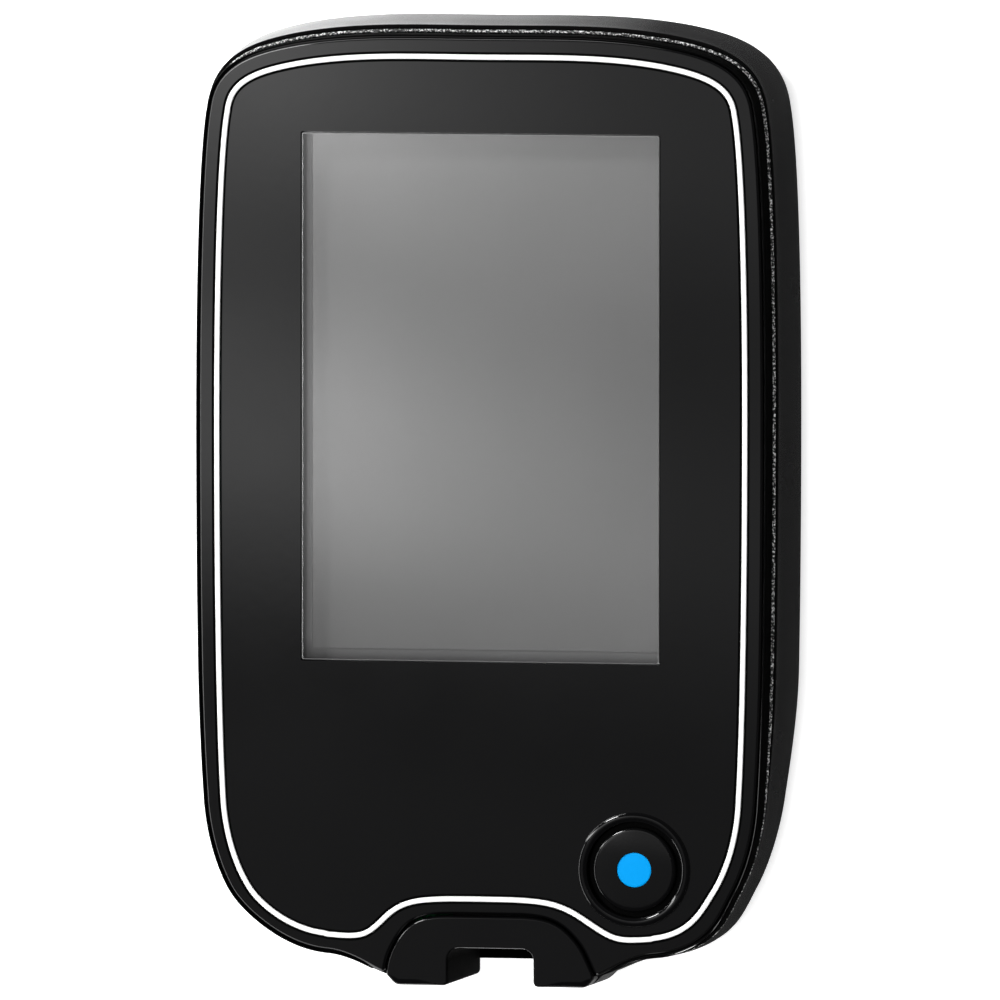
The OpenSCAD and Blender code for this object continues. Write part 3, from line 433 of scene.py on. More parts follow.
def finish_piece(obj, body, slot_name, material, *nodes, sharp=32):
    mesh = obj.data
    mesh.name = obj.name
    mesh.materials.clear()
    mesh.materials.append(material)
    mesh.polygons.foreach_set("material_index", [0] * len(mesh.polygons))
    mesh.polygons.foreach_set("use_smooth", [True] * len(mesh.polygons))
    mesh.set_sharp_from_angle(angle=math.radians(sharp))
    mesh.update()
    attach(obj, body)
    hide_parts(*nodes)


def paint(obj, material, chosen):
    """One more material, on the faces whose centre, in millimetres, and normal are chosen."""
    obj.data.materials.append(material)
    for p in obj.data.polygons:
        if chosen(*(c / MM for c in p.center), p.normal):
            p.material_index = len(obj.data.materials) - 1


def in_notch(x, y, z, n):
    """Whether a face is a wall of the strip port's notch."""
    off = abs(x - PORT_X)
    deep = z < BODY_T - 0.5 and abs(n.z) < 0.6
    side_round = z < BODY_T - 0.04 and off > NOTCH_X - 0.8
    return (off < NOTCH_X + 0.45 and FOOT_Y + 0.1 < y < NOTCH_Y + 1.6 and abs(n.z) < 0.95
            and (deep or side_round))


# ---------------------------------------------------------------- materials
def material(name):
    m = bpy.data.materials.new(name)
    m.use_nodes = True
    nt = m.node_tree
    return m, nt, nt.nodes["Principled BSDF"]


def add(nt, kind, **values):
    node = nt.nodes.new(kind)
    for k, v in values.items():
        if k in node.inputs:
            node.inputs[k].default_value = v
        else:
            setattr(node, k, v)
    return node


def coordinates(nt, kind="Object"):
    return add(nt, "ShaderNodeTexCoord").outputs[kind]


def split(nt, coord):
    """The X, Y and Z of a coordinate."""
    node = add(nt, "ShaderNodeSeparateXYZ")
    nt.links.new(coord, node.inputs[0])
    return node.outputs


def noise(nt, coord, scale, detail=3.0):
    n = add(nt, "ShaderNodeTexNoise", Scale=scale, Detail=detail, Roughness=0.5)
    nt.links.new(coord, n.inputs["Vector"])
    return n.outputs["Fac"]


def ramp(nt, fac, lo, hi, to_lo, to_hi):
    r = add(nt, "ShaderNodeMapRange")
    for k, v in zip(("From Min", "From Max", "To Min", "To Max"), (lo, hi, to_lo, to_hi)):
        r.inputs[k].default_value = v
    nt.links.new(fac, r.inputs["Value"])
    return r.outputs["Result"]


def maths(nt, operation, *values):
    """A Math node, each of whose inputs is a socket or a number."""
    node = add(nt, "ShaderNodeMath", operation=operation)
    for socket, value in zip(node.inputs, values):
        if isinstance(value, (int, float)):
            socket.default_value = value
        else:
            nt.links.new(value, socket)
    return node.outputs[0]


def mixed(nt, share, low, high):
    """A colour between two, by a share from 0 to 1."""
    mix = add(nt, "ShaderNodeMix", data_type="RGBA")
    mix.inputs["A"].default_value = (*low, 1)
    mix.inputs["B"].default_value = (*high, 1)
    nt.links.new(share, mix.inputs["Factor"])
    return mix.outputs["Result"]


def relief(nt, sh, height, strength, depth):
    b = add(nt, "ShaderNodeBump", Strength=strength, Distance=depth)
    nt.links.new(height, b.inputs["Height"])
    nt.links.new(b.outputs["Normal"], sh.inputs["Normal"])


def finish(name, colour, rough, metal=0.0, mottle=0.1, mottle_mm=6.0, grain_mm=0.25,
           bump=0.05, rough_vary=0.06, specular=0.5, stretch=(1, 1, 1), coat=0.0):
    """A surface whose colour and roughness drift a little, with a fine grain in relief."""
    m, nt, sh = material(name)
    coord = coordinates(nt)
    if stretch != (1, 1, 1):
        mapping = add(nt, "ShaderNodeMapping", Scale=stretch)
        nt.links.new(coord, mapping.inputs["Vector"])
        coord = mapping.outputs["Vector"]
    broad = noise(nt, coord, 1000 / mottle_mm)
    nt.links.new(mixed(nt, broad, [c * (1 - mottle) for c in colour],
                       [min(1, c * (1 + mottle)) for c in colour]), sh.inputs["Base Color"])
    nt.links.new(ramp(nt, broad, 0.3, 0.7, rough - rough_vary, rough + rough_vary),
                 sh.inputs["Roughness"])
    relief(nt, sh, noise(nt, coord, 1000 / grain_mm, 2.0), bump, grain_mm * MM * 0.3)
    sh.inputs["Metallic"].default_value = metal
    sh.inputs["Specular IOR Level"].default_value = specular
    sh.inputs["Coat Weight"].default_value = coat
    return m


def painted_glint_lip():
    """Matt black with pale specks painted into its colour: painted glints where its grain would
    catch the light.
    """
    m, nt, sh = material("lip painted glints")
    speck = noise(nt, coordinates(nt), 1000 / 0.22, 2.0)
    nt.links.new(mixed(nt, ramp(nt, speck, 0.5, 0.64, 0, 1), (0.01,) * 3, (0.85,) * 3),
                 sh.inputs["Base Color"])
    sh.inputs["Roughness"].default_value = 0.3
    relief(nt, sh, speck, 0.9, 0.06 * MM)
    return m


def clear_glass():
    m, nt, sh = material("clear window")
    smear = noise(nt, coordinates(nt), 60, 4.0)
    nt.links.new(ramp(nt, smear, 0.4, 0.8, 0, 0.03), sh.inputs["Roughness"])
    sh.inputs["Base Color"].default_value = (0.985, 0.985, 0.985, 1)
    sh.inputs["Transmission Weight"].default_value = 1.0
    sh.inputs["IOR"].default_value = 1.5
    return m


DEEP_BLACK = (0.0025, 0.0025, 0.0027)
M = {
    "case": finish("case matt black", (0.009, 0.009, 0.0095), 0.25, grain_mm=0.16, bump=0.12,
                   mottle=0.12, rough_vary=0.03, specular=0.4),
    "gloss": finish("gloss black", DEEP_BLACK, 0.10, grain_mm=0.6, bump=0.01, rough_vary=0.02),
    "face": finish("face black", DEEP_BLACK, 0.09, grain_mm=1.2, bump=0.004, mottle_mm=14,
                   rough_vary=0.02),
    "rim": finish("rim black", (0.0012, 0.0012, 0.0013), 0.1, grain_mm=0.6, bump=0.01,
                  rough_vary=0.02, specular=0.3),
    # The notch black is a dead matt copy of the black plastics. It is put on the walls of recesses
    # and holes and on sides turned away, as painted shade.
    "notch": finish("notch black", (0.002, 0.002, 0.002), 0.8, grain_mm=0.3, bump=0.05,
                    specular=0.03),
    "bead": painted_glint_lip(),
    "trim": finish("white trim", (0.9, 0.9, 0.89), 0.35, grain_mm=0.3, bump=0.03, mottle=0.02),
    "blue": finish("button blue", (0.0, 0.285, 0.71), 0.45, specular=0.15, grain_mm=0.3,
                   bump=0.03, mottle=0.03, mottle_mm=1.5),
    "cap": finish("button black", DEEP_BLACK, 0.1, grain_mm=0.3, bump=0.02, rough_vary=0.03),
    "film": finish("display polariser", (0.092, 0.092, 0.092), 0.08, grain_mm=2, bump=0.0,
                   mottle=0.03, mottle_mm=20, rough_vary=0.01, specular=1.0),
    "panel": finish("display border", (0.035, 0.035, 0.036), 0.12, grain_mm=0.3, bump=0.0,
                    mottle=0.03, specular=0.12),
    "ground": finish("ground glass edge", (0.2, 0.2, 0.2), 0.5, grain_mm=0.1, bump=0.1),
    "glass": clear_glass(),
}
M["film"].node_tree.nodes["Principled BSDF"].inputs["IOR"].default_value = 1.7

# Painted shade: the display's border is a dark grey that falls to black at its foot, where the
# light on it is dimmer
nt = M["panel"].node_tree
up_the_panel = split(nt, coordinates(nt, "Generated"))["Y"]
nt.links.new(mixed(nt, ramp(nt, up_the_panel, 0.04, 0.1, 0, 1), (0.006,) * 3,
                   (0.14, 0.14, 0.141)), nt.nodes["Principled BSDF"].inputs["Base Color"])

# The other nodes keep their construction shape, and take one of these finishes
for key, args in {
    "amber": dict(colour=(0.5, 0.2, 0.03), rough=0.32, grain_mm=0.5, bump=0.05, mottle=0.2),
    "foam": dict(colour=(0.018, 0.018, 0.018), rough=0.9, grain_mm=0.2, bump=0.6, mottle=0.25),
    "guide": dict(colour=(0.8, 0.81, 0.8), rough=0.4, grain_mm=0.6, bump=0.05, mottle=0.03),
    "sheet": dict(colour=(0.55, 0.55, 0.56), rough=0.32, metal=1.0, grain_mm=0.3, bump=0.15,
                  mottle=0.08, stretch=(1, 14, 1)),
    "board": dict(colour=(0.01, 0.13, 0.045), rough=0.28, grain_mm=0.5, bump=0.12, mottle=0.3,
                  mottle_mm=1.6, coat=0.3),
    "chip": dict(colour=(0.02, 0.02, 0.021), rough=0.55, grain_mm=0.08, bump=0.3, mottle=0.15),
    "ceramic": dict(colour=(0.42, 0.28, 0.16), rough=0.45, grain_mm=0.08, bump=0.2, mottle=0.15),
    "copper": dict(colour=(0.75, 0.33, 0.16), rough=0.3, metal=1.0, grain_mm=0.2, bump=0.1,
                   mottle=0.15),
    "ferrite": dict(colour=(0.05, 0.05, 0.052), rough=0.6, grain_mm=0.15, bump=0.3, mottle=0.2),
    "gold": dict(colour=(0.83, 0.55, 0.2), rough=0.22, metal=1.0, grain_mm=0.1, bump=0.08),
    "foil": dict(colour=(0.6, 0.61, 0.62), rough=0.42, metal=0.9, grain_mm=1.4, bump=0.5,
                 mottle=0.06, mottle_mm=9),
    "red": dict(colour=(0.45, 0.01, 0.008), rough=0.45, grain_mm=0.4, bump=0.1),
    "black": dict(colour=(0.014, 0.014, 0.014), rough=0.5, grain_mm=0.4, bump=0.1),
    "cream": dict(colour=(0.72, 0.66, 0.5), rough=0.5, grain_mm=0.3, bump=0.1, mottle=0.05),
    "inner": dict(colour=(0.016, 0.016, 0.017), rough=0.5, grain_mm=0.2, bump=0.2, mottle=0.15),
    "motor": dict(colour=(0.5, 0.5, 0.52), rough=0.28, metal=1.0, grain_mm=0.3, bump=0.1,
                  stretch=(1, 10, 10)),
    "weight": dict(colour=(0.28, 0.28, 0.3), rough=0.45, metal=1.0, grain_mm=0.12, bump=0.3,
                   mottle=0.15),
    "ivory": dict(colour=(0.6, 0.58, 0.5), rough=0.5, grain_mm=0.2, bump=0.1, mottle=0.05),
    "screw": dict(colour=(0.03, 0.03, 0.032), rough=0.38, metal=0.8, grain_mm=0.2, bump=0.15,
                  mottle=0.2),
}.items():
    M[key] = finish("surface " + key, **args)

for key, nodes in {
    "panel": ("lcd_panel",), "film": ("lcd_polarizer",), "guide": ("lcd_backlight",),
    "sheet": ("lcd_frame", "shield_can", "motor_clip", "usb_receptacle", "switch_dome",
              "board_screws"),
    "foam": ("display_gasket", "battery_pad"),
    "amber": ("touch_flex", "display_flex", "antenna_film"),
    "board": ("main_board",),
    "chip": ("processor_chip", "memory_chip", "charger_chip", "radio_chip"),
    "ceramic": ("chip_capacitors",), "copper": ("antenna_coil",), "ferrite": ("ferrite_sheet",),
    "gold": ("antenna_contacts", "strip_contacts"), "foil": ("battery_cell",),
    "red": ("battery_lead_red",), "black": ("battery_lead_black",), "cream": ("battery_plug",),
    "inner": ("buzzer", "strip_port_body", "usb_tongue", "switch_plunger"),
    "motor": ("vibration_motor",), "weight": ("motor_weight",), "ivory": ("switch_body",),
    "screw": ("case_screws",),
}.items():
    for node in nodes:
        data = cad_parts[node].data
        data.materials.clear()
        data.materials.append(M[key])

# ---------------------------------------------------------------- back shell
# Offsets [side, top, low, foot] of the walls, of the shoulder at the seam and of its lip
full = np.array([SIDE_FLARE, TOP_FLARE + 0.15, 0.45, 0.0])
shoulder = np.array([1.15, 1.42, 0.45, 0.0])
lip = np.array([0.7, 0.78, 0.4, 0.0])
back_round = np.array([4.6, 3.5, 3.5, 1.6])
BACK_H = 6.0
ALL_BUT_FOOT = np.array([1, 1, 1, 0])
WALL_BOW = 0.35 * ALL_BUT_FOOT
SHOULDER_R, SHOULDER_H, SHOULDER_DROP = 0.24, 1, 0.8
SHOULDER_ROUND = SHOULDER_R * np.array([0.7, 1, 0.2, 0])
BEAD, BEAD_H = np.array([0.15, 0.13, 0.05, 0.0]), 0.16
BEAD_Z = SHELL_Z - 0.09
NOTCH_EDGE_R = 0.5


def notch_edge(z):
    """How far the round at the notch's lower edge stands back at the height z."""
    t = max(0.0, 1 - abs(z) / NOTCH_EDGE_R)
    return NOTCH_EDGE_R * (1 - math.sqrt(max(0.0, 1 - t * t)))


levels = []
for a in (0, 3, 6, 10, 15, 20, 26, 33, 40, 48, 56, 64, 72, 81, 90):
    s, c = sin_cos(a)
    levels.append((full - back_round * (1 - s), BACK_H * (1 - c)))
for t in (0.15, 0.3, 0.45, 0.6, 0.75, 0.9):
    levels.append((full + (shoulder - full) * t + t * (1 - t) * WALL_BOW,
                   BACK_H + (SHELL_Z - SHOULDER_H - BACK_H) * t))
levels.append((shoulder, SHELL_Z - SHOULDER_DROP))
for a in (0, 15, 30, 45, 60, 75, 88):
    s, c = sin_cos(a)
    levels.append((shoulder - (1 - c) * SHOULDER_ROUND, BEAD_Z - SHOULDER_R * (1 - s)))
levels.append((lip + BEAD + [0.02, 0.05, 0, 0], BEAD_Z + 0.005))
for a in (150, 120, 90, 60, 30, 0):
    s, c = sin_cos(a)
    levels.append((lip - c * BEAD, BEAD_Z + BEAD_H * s))
shell = new_object("case_back", *loft([
    lifted(offset_ring(case_line, *o, -notch_edge(z), case_notch), z) for o, z in levels]))

# The room inside, which steps in at its floor and towards the seam
FLOOR_IN, KNEE_IN, NECK_DROP, LIP_DROP = 1.6, 0.4, 1.2, 0.2
walls = np.array([WALL] * 4)
neck, seam_in = 0.8 - walls, 0.6 - walls
rooms = [(full - walls - FLOOR_IN * ALL_BUT_FOOT, WALL),
         (full - walls - KNEE_IN * ALL_BUT_FOOT, 2 * WALL), (full - walls, BACK_H),
         (neck, SHELL_Z - NECK_DROP), (seam_in, SHELL_Z - LIP_DROP), (seam_in, SHELL_Z + PAST)]
room = new_object("room", *loft([lifted(offset_ring(room_line, *o), z) for o, z in rooms]))

# Posts for the case's screws and stands for the board's, with their holes
POST_R, POST_Z, BOSS_R = 2.6, 7, 2.2
HEAD_R, HEAD_Z, SHANK_R, SHANK_Z, PILOT_R = 2.0, 1.8, 1.2, 8, 1.05
STAND_R, SMALL_R, SMALL_L = 2.0, 0.75, 2.7
BOSS_AT = ((HALF_W - 5.7, CORNER_Y - 4.65), (HALF_W - 4.6, FOOT_Y + BOTTOM_CORNER_L))
STAND_X, STAND_Y = 20.4, (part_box("lcd_polarizer")[1].y / MM - 4, FOOT_Y + 25.4)
LOW_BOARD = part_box("main_board")[0].z / MM
bosses = [(s * x, y) for x, y in BOSS_AT for s in (-1, 1)]
stands = [(x, y) for x in (-STAND_X, STAND_X) for y in STAND_Y]
boolean(room, "DIFFERENCE", *cylinders(bosses, POST_R, 0, POST_Z),
        *cylinders(stands, STAND_R, 0, LOW_BOARD))

# The charging socket's recess and slot, and the seat of the strip port's throat
SOCKET_RECESS, RECESS_D, SOCKET_SLOT, SLOT_D = (10.6, 4.8), 1, (6.9, 1.9), 2
THROAT, THROAT_FIT, THROAT_Z = 1.1, 0.1, 9
low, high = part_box("usb_receptacle")
socket_yz = (low.y + high.y) / 2 / MM, (low.z + high.z) / 2 / MM
seat = THROAT + THROAT_FIT
boolean(shell, "DIFFERENCE", taken(room),
        box_mesh((PORT_X - NOTCH_X - seat, FOOT_Y - PAST, THROAT_Z),
                 (PORT_X + NOTCH_X + seat, NOTCH_Y + seat, BODY_T)),
        stadium(-BODY_W / 2 - PAST, -BODY_W / 2 + RECESS_D, SOCKET_RECESS, *socket_yz),
        stadium(-BODY_W / 2 - PAST, -HALF_W + SLOT_D, SOCKET_SLOT, *socket_yz),
        *cylinders(bosses, HEAD_R, -PAST, HEAD_Z), *cylinders(bosses, SHANK_R, -PAST, SHANK_Z),
        *cylinders(stands, SMALL_R, LOW_BOARD - SMALL_L, LOW_BOARD + PAST, FEW_STEPS))
finish_piece(shell, "case", "case_matt_black", M["case"], "rear_shell")
# Painted shade: the walls of the strip port's notch take the notch black.
paint(shell, M["notch"], in_notch)
# The seam's lip takes pale specks as painted glints, and the flat beside it takes the dead notch
# black as painted shade
shell.data.materials.append(M["bead"])
for p in shell.data.polygons:
    x, y, z = (c / MM for c in p.center)
    if z > BEAD_Z + 0.008 and p.material_index == 0 and y > LOWER_Y - 1:
        p.material_index = 2
    elif z > BEAD_Z - SHOULDER_R - 0.02 and p.normal.z > 0.5:
        p.material_index = 1

# ---------------------------------------------------------------- front housing
RIM_R, RIM_TOP = 0.42, BODY_T - 0.18
ROUND_IN, ROUND_SPAN = 0.4, 0.56
# The rim's profile: a share of the way from its inside to its outside, and a height
rim = [(1, RIM_Z), (1, RIM_Z + 0.6), (0.98, (RIM_Z + RIM_TOP) / 2)]
for a in range(0, 91, 10):
    s, c = sin_cos(a)
    rim.append((ROUND_IN + ROUND_SPAN * c, RIM_TOP - RIM_R * (1 - s)))
rim += [(0.37, RIM_TOP - 0.002), (0.02, RIM_TOP - 0.045), (0, RIM_TOP - 0.07)]
rings = [lifted(offset_ring(face_line, *(RIM_IN + (RIM_OUT - RIM_IN) * u)), z) for u, z in rim]
rings.append(lifted(offset_ring(face_line, *(RIM_IN - 0.02)), RIM_TOP - 0.3))
housing = new_object("face_frame", *loft(rings))
# Its tongue stands in the back shell's room, and its bosses hold the screws
TONGUE_FIT, TONGUE_T, TONGUE_D, LAP, PILOT_END = 0.1, 0.9, 1.2, 0.2, 1.3
tongue = seam_in - TONGUE_FIT
boolean(housing, "DIFFERENCE",
        prism(offset_ring(face_line, *RIM_IN[:3], GROOVE), LEDGE_Z, ABOVE),
        prism(offset_ring(room_line, *tongue), RIM_Z - PAST, PLATE_Z))
boolean(housing, "UNION", *cylinders(bosses, BOSS_R, POST_Z, PLATE_Z + LAP))
tongue_ring = new_object("tongue", *prism(
    offset_ring(room_line, *(tongue + 0.05)), RIM_Z - TONGUE_D, PLATE_Z + LAP))
boolean(tongue_ring, "DIFFERENCE", prism(
    offset_ring(room_line, *(tongue - TONGUE_T)), RIM_Z - TONGUE_D - PAST, PLATE_Z + PAST))
boolean(housing, "UNION", taken(tongue_ring))
SENSOR_X = WINDOW_X + SENSOR_EDGE
SENSOR_Y0, SENSOR_Y1 = WINDOW_Y0 - SENSOR_EDGE, WINDOW_Y1 + SENSOR_EDGE
# Openings for the surround, the touch sensor and its tail, the button and the screws
FIT, TAIL, TAIL_LAP = 0.2, 2.8, 0.1
low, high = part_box("touch_flex")
boolean(housing, "DIFFERENCE",
        prism(moved(surround_line, GROOVE), 0, ABOVE),
        box_mesh((-SENSOR_X - FIT, SENSOR_Y0 - FIT, PLATE_Z - PAST),
                 (SENSOR_X + FIT, SENSOR_Y1 + FIT, BODY_T)),
        box_mesh((low.x / MM - FIT, SENSOR_Y0 - TAIL, PLATE_Z - PAST),
                 (high.x / MM + FIT, SENSOR_Y0 + TAIL_LAP, BODY_T)),
        *cylinders([BUTTON], HOLE_R, 0, ABOVE, ROUND_STEPS),
        *cylinders(bosses, PILOT_R, 0, PLATE_Z - PILOT_END, FEW_STEPS))
finish_piece(housing, "case", "gloss_black", M["rim"], "front_housing")
# Only its top and the slopes that face inwards mirror anything: its sides and outward slopes take
# the notch black as painted shade
paint(housing, M["notch"], lambda x, y, z, n:
      abs(n.z) < 0.35 or n.x * x + n.y * y > 0 and n.z < 0.99)


# ---------------------------------------------------------------- face panel
def fascia_outline():
    """The face's edge, and where the notch's surround cuts into it, the surround's groove."""
    CORNER_R = 0.45
    groove = moved(surround_line, GROOVE)
    edge = offset_ring(face_line, *PANEL_OUT)
    i0, p0 = crossing(edge, groove)
    i1, p1 = crossing(edge[::-1], groove)
    right, left = edge[:i0 + 1], edge[::-1][:i1 + 1][::-1]
    line = rounded_corner(right, p0, run_between(groove[::-1], p0, p1), CORNER_R)
    return rounded_corner(line, p1, left, CORNER_R)


fascia_line = fascia_outline()
b = Build()
# The panel's edge is a soft chamfer: facets of a slope in degrees and a width across
facets, CREST = [(68, 0.03), (41, 0.2)], 0.02
drop = sum(w * math.tan(math.radians(a)) for a, w in facets)
edge = [(0, LEDGE_Z), (0, BODY_T - drop)]
for a, w in facets:
    edge.append((edge[-1][0] - w, edge[-1][1] + w * math.tan(math.radians(a))))
edge.append((edge[-1][0] - CREST, BODY_T))
outer = [b.ring(lifted(moved(fascia_line, o), z)) for o, z in edge]
b.bands(outer)
# The groove that the light line lies in
HALF_CUT = TRIM_W / 2 + TRIM_GAP
groove = [b.ring(lifted(moved(trim_line, o), z)) for o, z in (
    (HALF_CUT, BODY_T), (HALF_CUT, BODY_T - TRIM_T),
    (-HALF_CUT, BODY_T - TRIM_T), (-HALF_CUT, BODY_T))]
b.fill([outer[-1], groove[0]])
groove_start = len(b.faces)
b.bands(groove)
groove_faces = range(groove_start, len(b.faces))
window = rounded_rect(-WINDOW_X, WINDOW_Y0, WINDOW_X, WINDOW_Y1, WINDOW_R)
w_top = b.ring(lifted(window, BODY_T))
w_low = b.ring(lifted(window, LEDGE_Z))
# The button's hole, with a low round collar: radius, and height above the face
COLLAR_FOOT, COLLAR_SPAN = 0.06, 1.866  # the span is 1 - cos(150 degrees)
collar = [(COLLAR_R + COLLAR_FOOT, 0)]
for a in (0, 12, 25, 40, 55, 70, 85, 100, 115, 130, 140, 150):
    s, c = sin_cos(a)
    collar.append((COLLAR_R - (COLLAR_R - HOLE_R - COLLAR_FOOT) * (1 - c) / COLLAR_SPAN,
                   COLLAR_H * s))
collar += [(HOLE_R + 0.02, COLLAR_H * 0.5 - 0.03), (HOLE_R, COLLAR_H * 0.5 - 0.09),
           (HOLE_R, LEDGE_Z - BODY_T)]
hole = [b.ring(lifted(button_circle(r), BODY_T + z)) for r, z in collar]
b.fill([groove[-1], w_top, hole[0]])
b.bands([w_top, w_low])
b.bands(hole)
b.fill([outer[0], w_low, hole[-1]], up=False)
fascia = new_object("face_panel", b.verts, b.faces)
finish_piece(fascia, "case", "face_black", M["face"], "fascia", sharp=36)
# Painted shade: the walls of its holes and of the groove take the dead notch black
paint(fascia, M["notch"], lambda x, y, z, n: abs(n.z) < 0.3 and (
    LEDGE_Z < z < BODY_T and from_button(x, y) < HOLE_R + 0.1
    or abs(x) < WINDOW_X + 0.1 and WINDOW_Y0 - 0.1 < y < WINDOW_Y1 + 0.1))
for k in groove_faces:
    fascia.data.polygons[k].material_index = 1

# ---------------------------------------------------------------- light line
b = Build()
TRIM_HALF, TRIM_ROUND, TRIM_CROWN = TRIM_W / 2 - 0.05, 0.05, 0.01
half = [(TRIM_HALF, -TRIM_T), (TRIM_HALF, -TRIM_ROUND), (TRIM_HALF - 0.02, -0.015),
        (TRIM_HALF - TRIM_ROUND, 0)]
section = half + [(0, TRIM_CROWN)] + [(-o, z) for o, z in reversed(half)]
rows = [b.ring(lifted(moved(trim_line, o), BODY_T + z)) for o, z in section]
b.bands(rows + rows[:1])
trim = new_object("trim_line", b.verts, b.faces)
finish_piece(trim, "case", "white_trim", M["trim"], "accent_trim", sharp=60)

# ---------------------------------------------------------------- strip port bezel
p0 = crossing(face_line, surround_line)[1]
p1 = crossing(face_line[::-1], surround_line)[1]
run = run_between(surround_line, p1, p0)
foot = slice(nearest(case_line, p0) + 1, nearest(case_line, p1))
bezel_line = np.vstack([run, case_line[foot]])
# Which points stand beside the face, and the notch's share in the others
beside_face = np.arange(len(bezel_line)) < len(run)
share = np.concatenate([np.zeros(len(run)), case_notch[foot]])


CORNER_START, CORNER_RUN = 0.1, 0.9


def corner_ease(corner):
    return ease((np.linalg.norm(bezel_line - corner, axis=1) - CORNER_START) / CORNER_RUN)


def bezel_ring(rim_o, top_o, notch_o, z):
    """The bezel's outline, moved by one offset at the feet, one beside the face and one in
    the notch, which run into each other at the two corners."""
    g = rim_o * (1 - share) + notch_o * share
    w = corner_ease(p0) * corner_ease(p1)
    g = np.where(beside_face, top_o, top_o + (g - top_o) * w)
    return lifted(bezel_line + g[:, None] * normals(bezel_line), z)


# Its rounded top: how far it stands back at the feet, beside the face and in the notch
BEZEL_ROUND, BEZEL_ROUND_H, BEZEL_CREST = (-0.6, -0.22, -0.15), 0.45, 0.04
rows = [bezel_ring(0, 0, 0, RIM_Z), bezel_ring(0, 0, 0, BODY_T - 0.6)]
for a in range(0, 91, 15):
    s, c = sin_cos(a)
    rows.append(bezel_ring(*(g * (1 - c) for g in BEZEL_ROUND),
                           BODY_T - BEZEL_ROUND_H * (1 - s)))
rows.append(bezel_ring(*(g - BEZEL_CREST for g in BEZEL_ROUND), BODY_T))
bezel = new_object("port_frame", *loft(rows))
# The throat behind the notch, in which the test strip's slot is
throat = new_object("throat", *box_mesh(
    (PORT_X - NOTCH_X - THROAT, FOOT_Y, THROAT_Z),
    (PORT_X + NOTCH_X + THROAT, NOTCH_Y + THROAT, RIM_Z + 0.3)))
notch_line = case_line[case_notch > 0.999]
notch_plug = np.vstack([[notch_line[0] + [0.8, -2]], notch_line, [notch_line[-1] + [-0.8, -2]]])
boolean(throat, "DIFFERENCE", prism(notch_plug[::-1], 0, ABOVE))
boolean(bezel, "UNION", taken(throat))
SLOT_X, SLOT_Y, SLOT_Z, SLOT_H = 3.2, 2, 10.0, 1.1
boolean(bezel, "DIFFERENCE", box_mesh((PORT_X - SLOT_X, NOTCH_Y - PAST, SLOT_Z),
                                      (PORT_X + SLOT_X, NOTCH_Y + SLOT_Y, SLOT_Z + SLOT_H)))
finish_piece(bezel, "case", "gloss_black", M["gloss"], "port_bezel")
# Painted shade: the walls of the notch take the notch black.
paint(bezel, M["notch"], in_notch)

# ---------------------------------------------------------------- window glass
PANE_FIT, PANE_R, SENSOR_R = 0.11, 0.22, 0.3
SENSOR_TOP = LEDGE_Z - 0.01
b = Build()
sensor = rounded_rect(-SENSOR_X, SENSOR_Y0, SENSOR_X, SENSOR_Y1, SENSOR_R)
rows = [b.ring(lifted(sensor, z)) for z in (LEDGE_Z - SENSOR_T, SENSOR_TOP)]
for g, z in ((0, SENSOR_TOP), (0, BODY_T - 0.12), (0.03, BODY_T - 0.04), (0.09, BODY_T),
             (0.12, BODY_T)):
    q = PANE_FIT + g
    rows.append(b.ring(lifted(rounded_rect(-WINDOW_X + q, WINDOW_Y0 + q, WINDOW_X - q,
                                           WINDOW_Y1 - q, PANE_R), z)))
b.bands(rows)
b.faces.append(tuple(rows[0]))
b.faces.append(tuple(reversed(rows[-1])))
pane = new_object("window_glass", b.verts, b.faces)
finish_piece(pane, "case", "clear_window", M["glass"], "display_window", "touch_sensor", sharp=30)
paint(pane, M["ground"], lambda x, y, z, n: z > BODY_T - 0.125 and n.z < 0.97)
pane.visible_shadow = False
pane.visible_diffuse = False

# ---------------------------------------------------------------- home button
CAP_EDGE, CAP_ROUND, DOME = 0.05, 0.3, 0.07
PLUNGER_R, FLANGE_R, SKIRT_R = 1.2, 5.2, HOLE_R - 0.08
FLANGE_Z0, FLANGE_Z1, SKIRT_Z = PLATE_Z - 0.9, PLATE_Z - 0.3, LEDGE_Z - 0.1
POCKET_Z, DIP = BODY_T - 0.5, 0.1
flat_r = BUTTON_R - CAP_ROUND


def dome_z(r):
    return BODY_T - CAP_EDGE + (DOME + CAP_EDGE) * (1 - (r / flat_r)**2)


plunger_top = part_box("home_button")[0].z / MM
cap = [(0, plunger_top), (PLUNGER_R, plunger_top), (PLUNGER_R, FLANGE_Z0),
       (FLANGE_R, FLANGE_Z0), (FLANGE_R, FLANGE_Z1), (SKIRT_R, FLANGE_Z1), (SKIRT_R, SKIRT_Z),
       (BUTTON_R, SKIRT_Z)]
for a in (0, 10, 20, 30, 40, 50, 60, 70, 78):
    s, c = sin_cos(a)
    cap.append((BUTTON_R - CAP_ROUND * (1 - c), BODY_T - CAP_EDGE - CAP_ROUND * (1 - s)))
pocket_r = DOT_R + 0.03
for t in (0.06, 0.12, 0.2, 0.3, 0.4, 0.5, 0.6, 0.7, 0.8, 0.9, 1.0):
    r = flat_r - (flat_r - pocket_r) * t
    cap.append((r, dome_z(r)))
cap += [(pocket_r, POCKET_Z), (0, POCKET_Z)]
button = new_object("button_cap", *turned(cap, BUTTON, ROUND_STEPS))
finish_piece(button, "button", "gloss_black", M["cap"], "home_button", sharp=30)
# Painted shade: the cap's skirt below the face and the wall of the dot's pocket take the notch
# black.
paint(button, M["notch"], lambda x, y, z, n: z < LEDGE_Z + 0.35 or
      z < BODY_T - 0.02 and from_button(x, y) < DOT_R + 0.05)

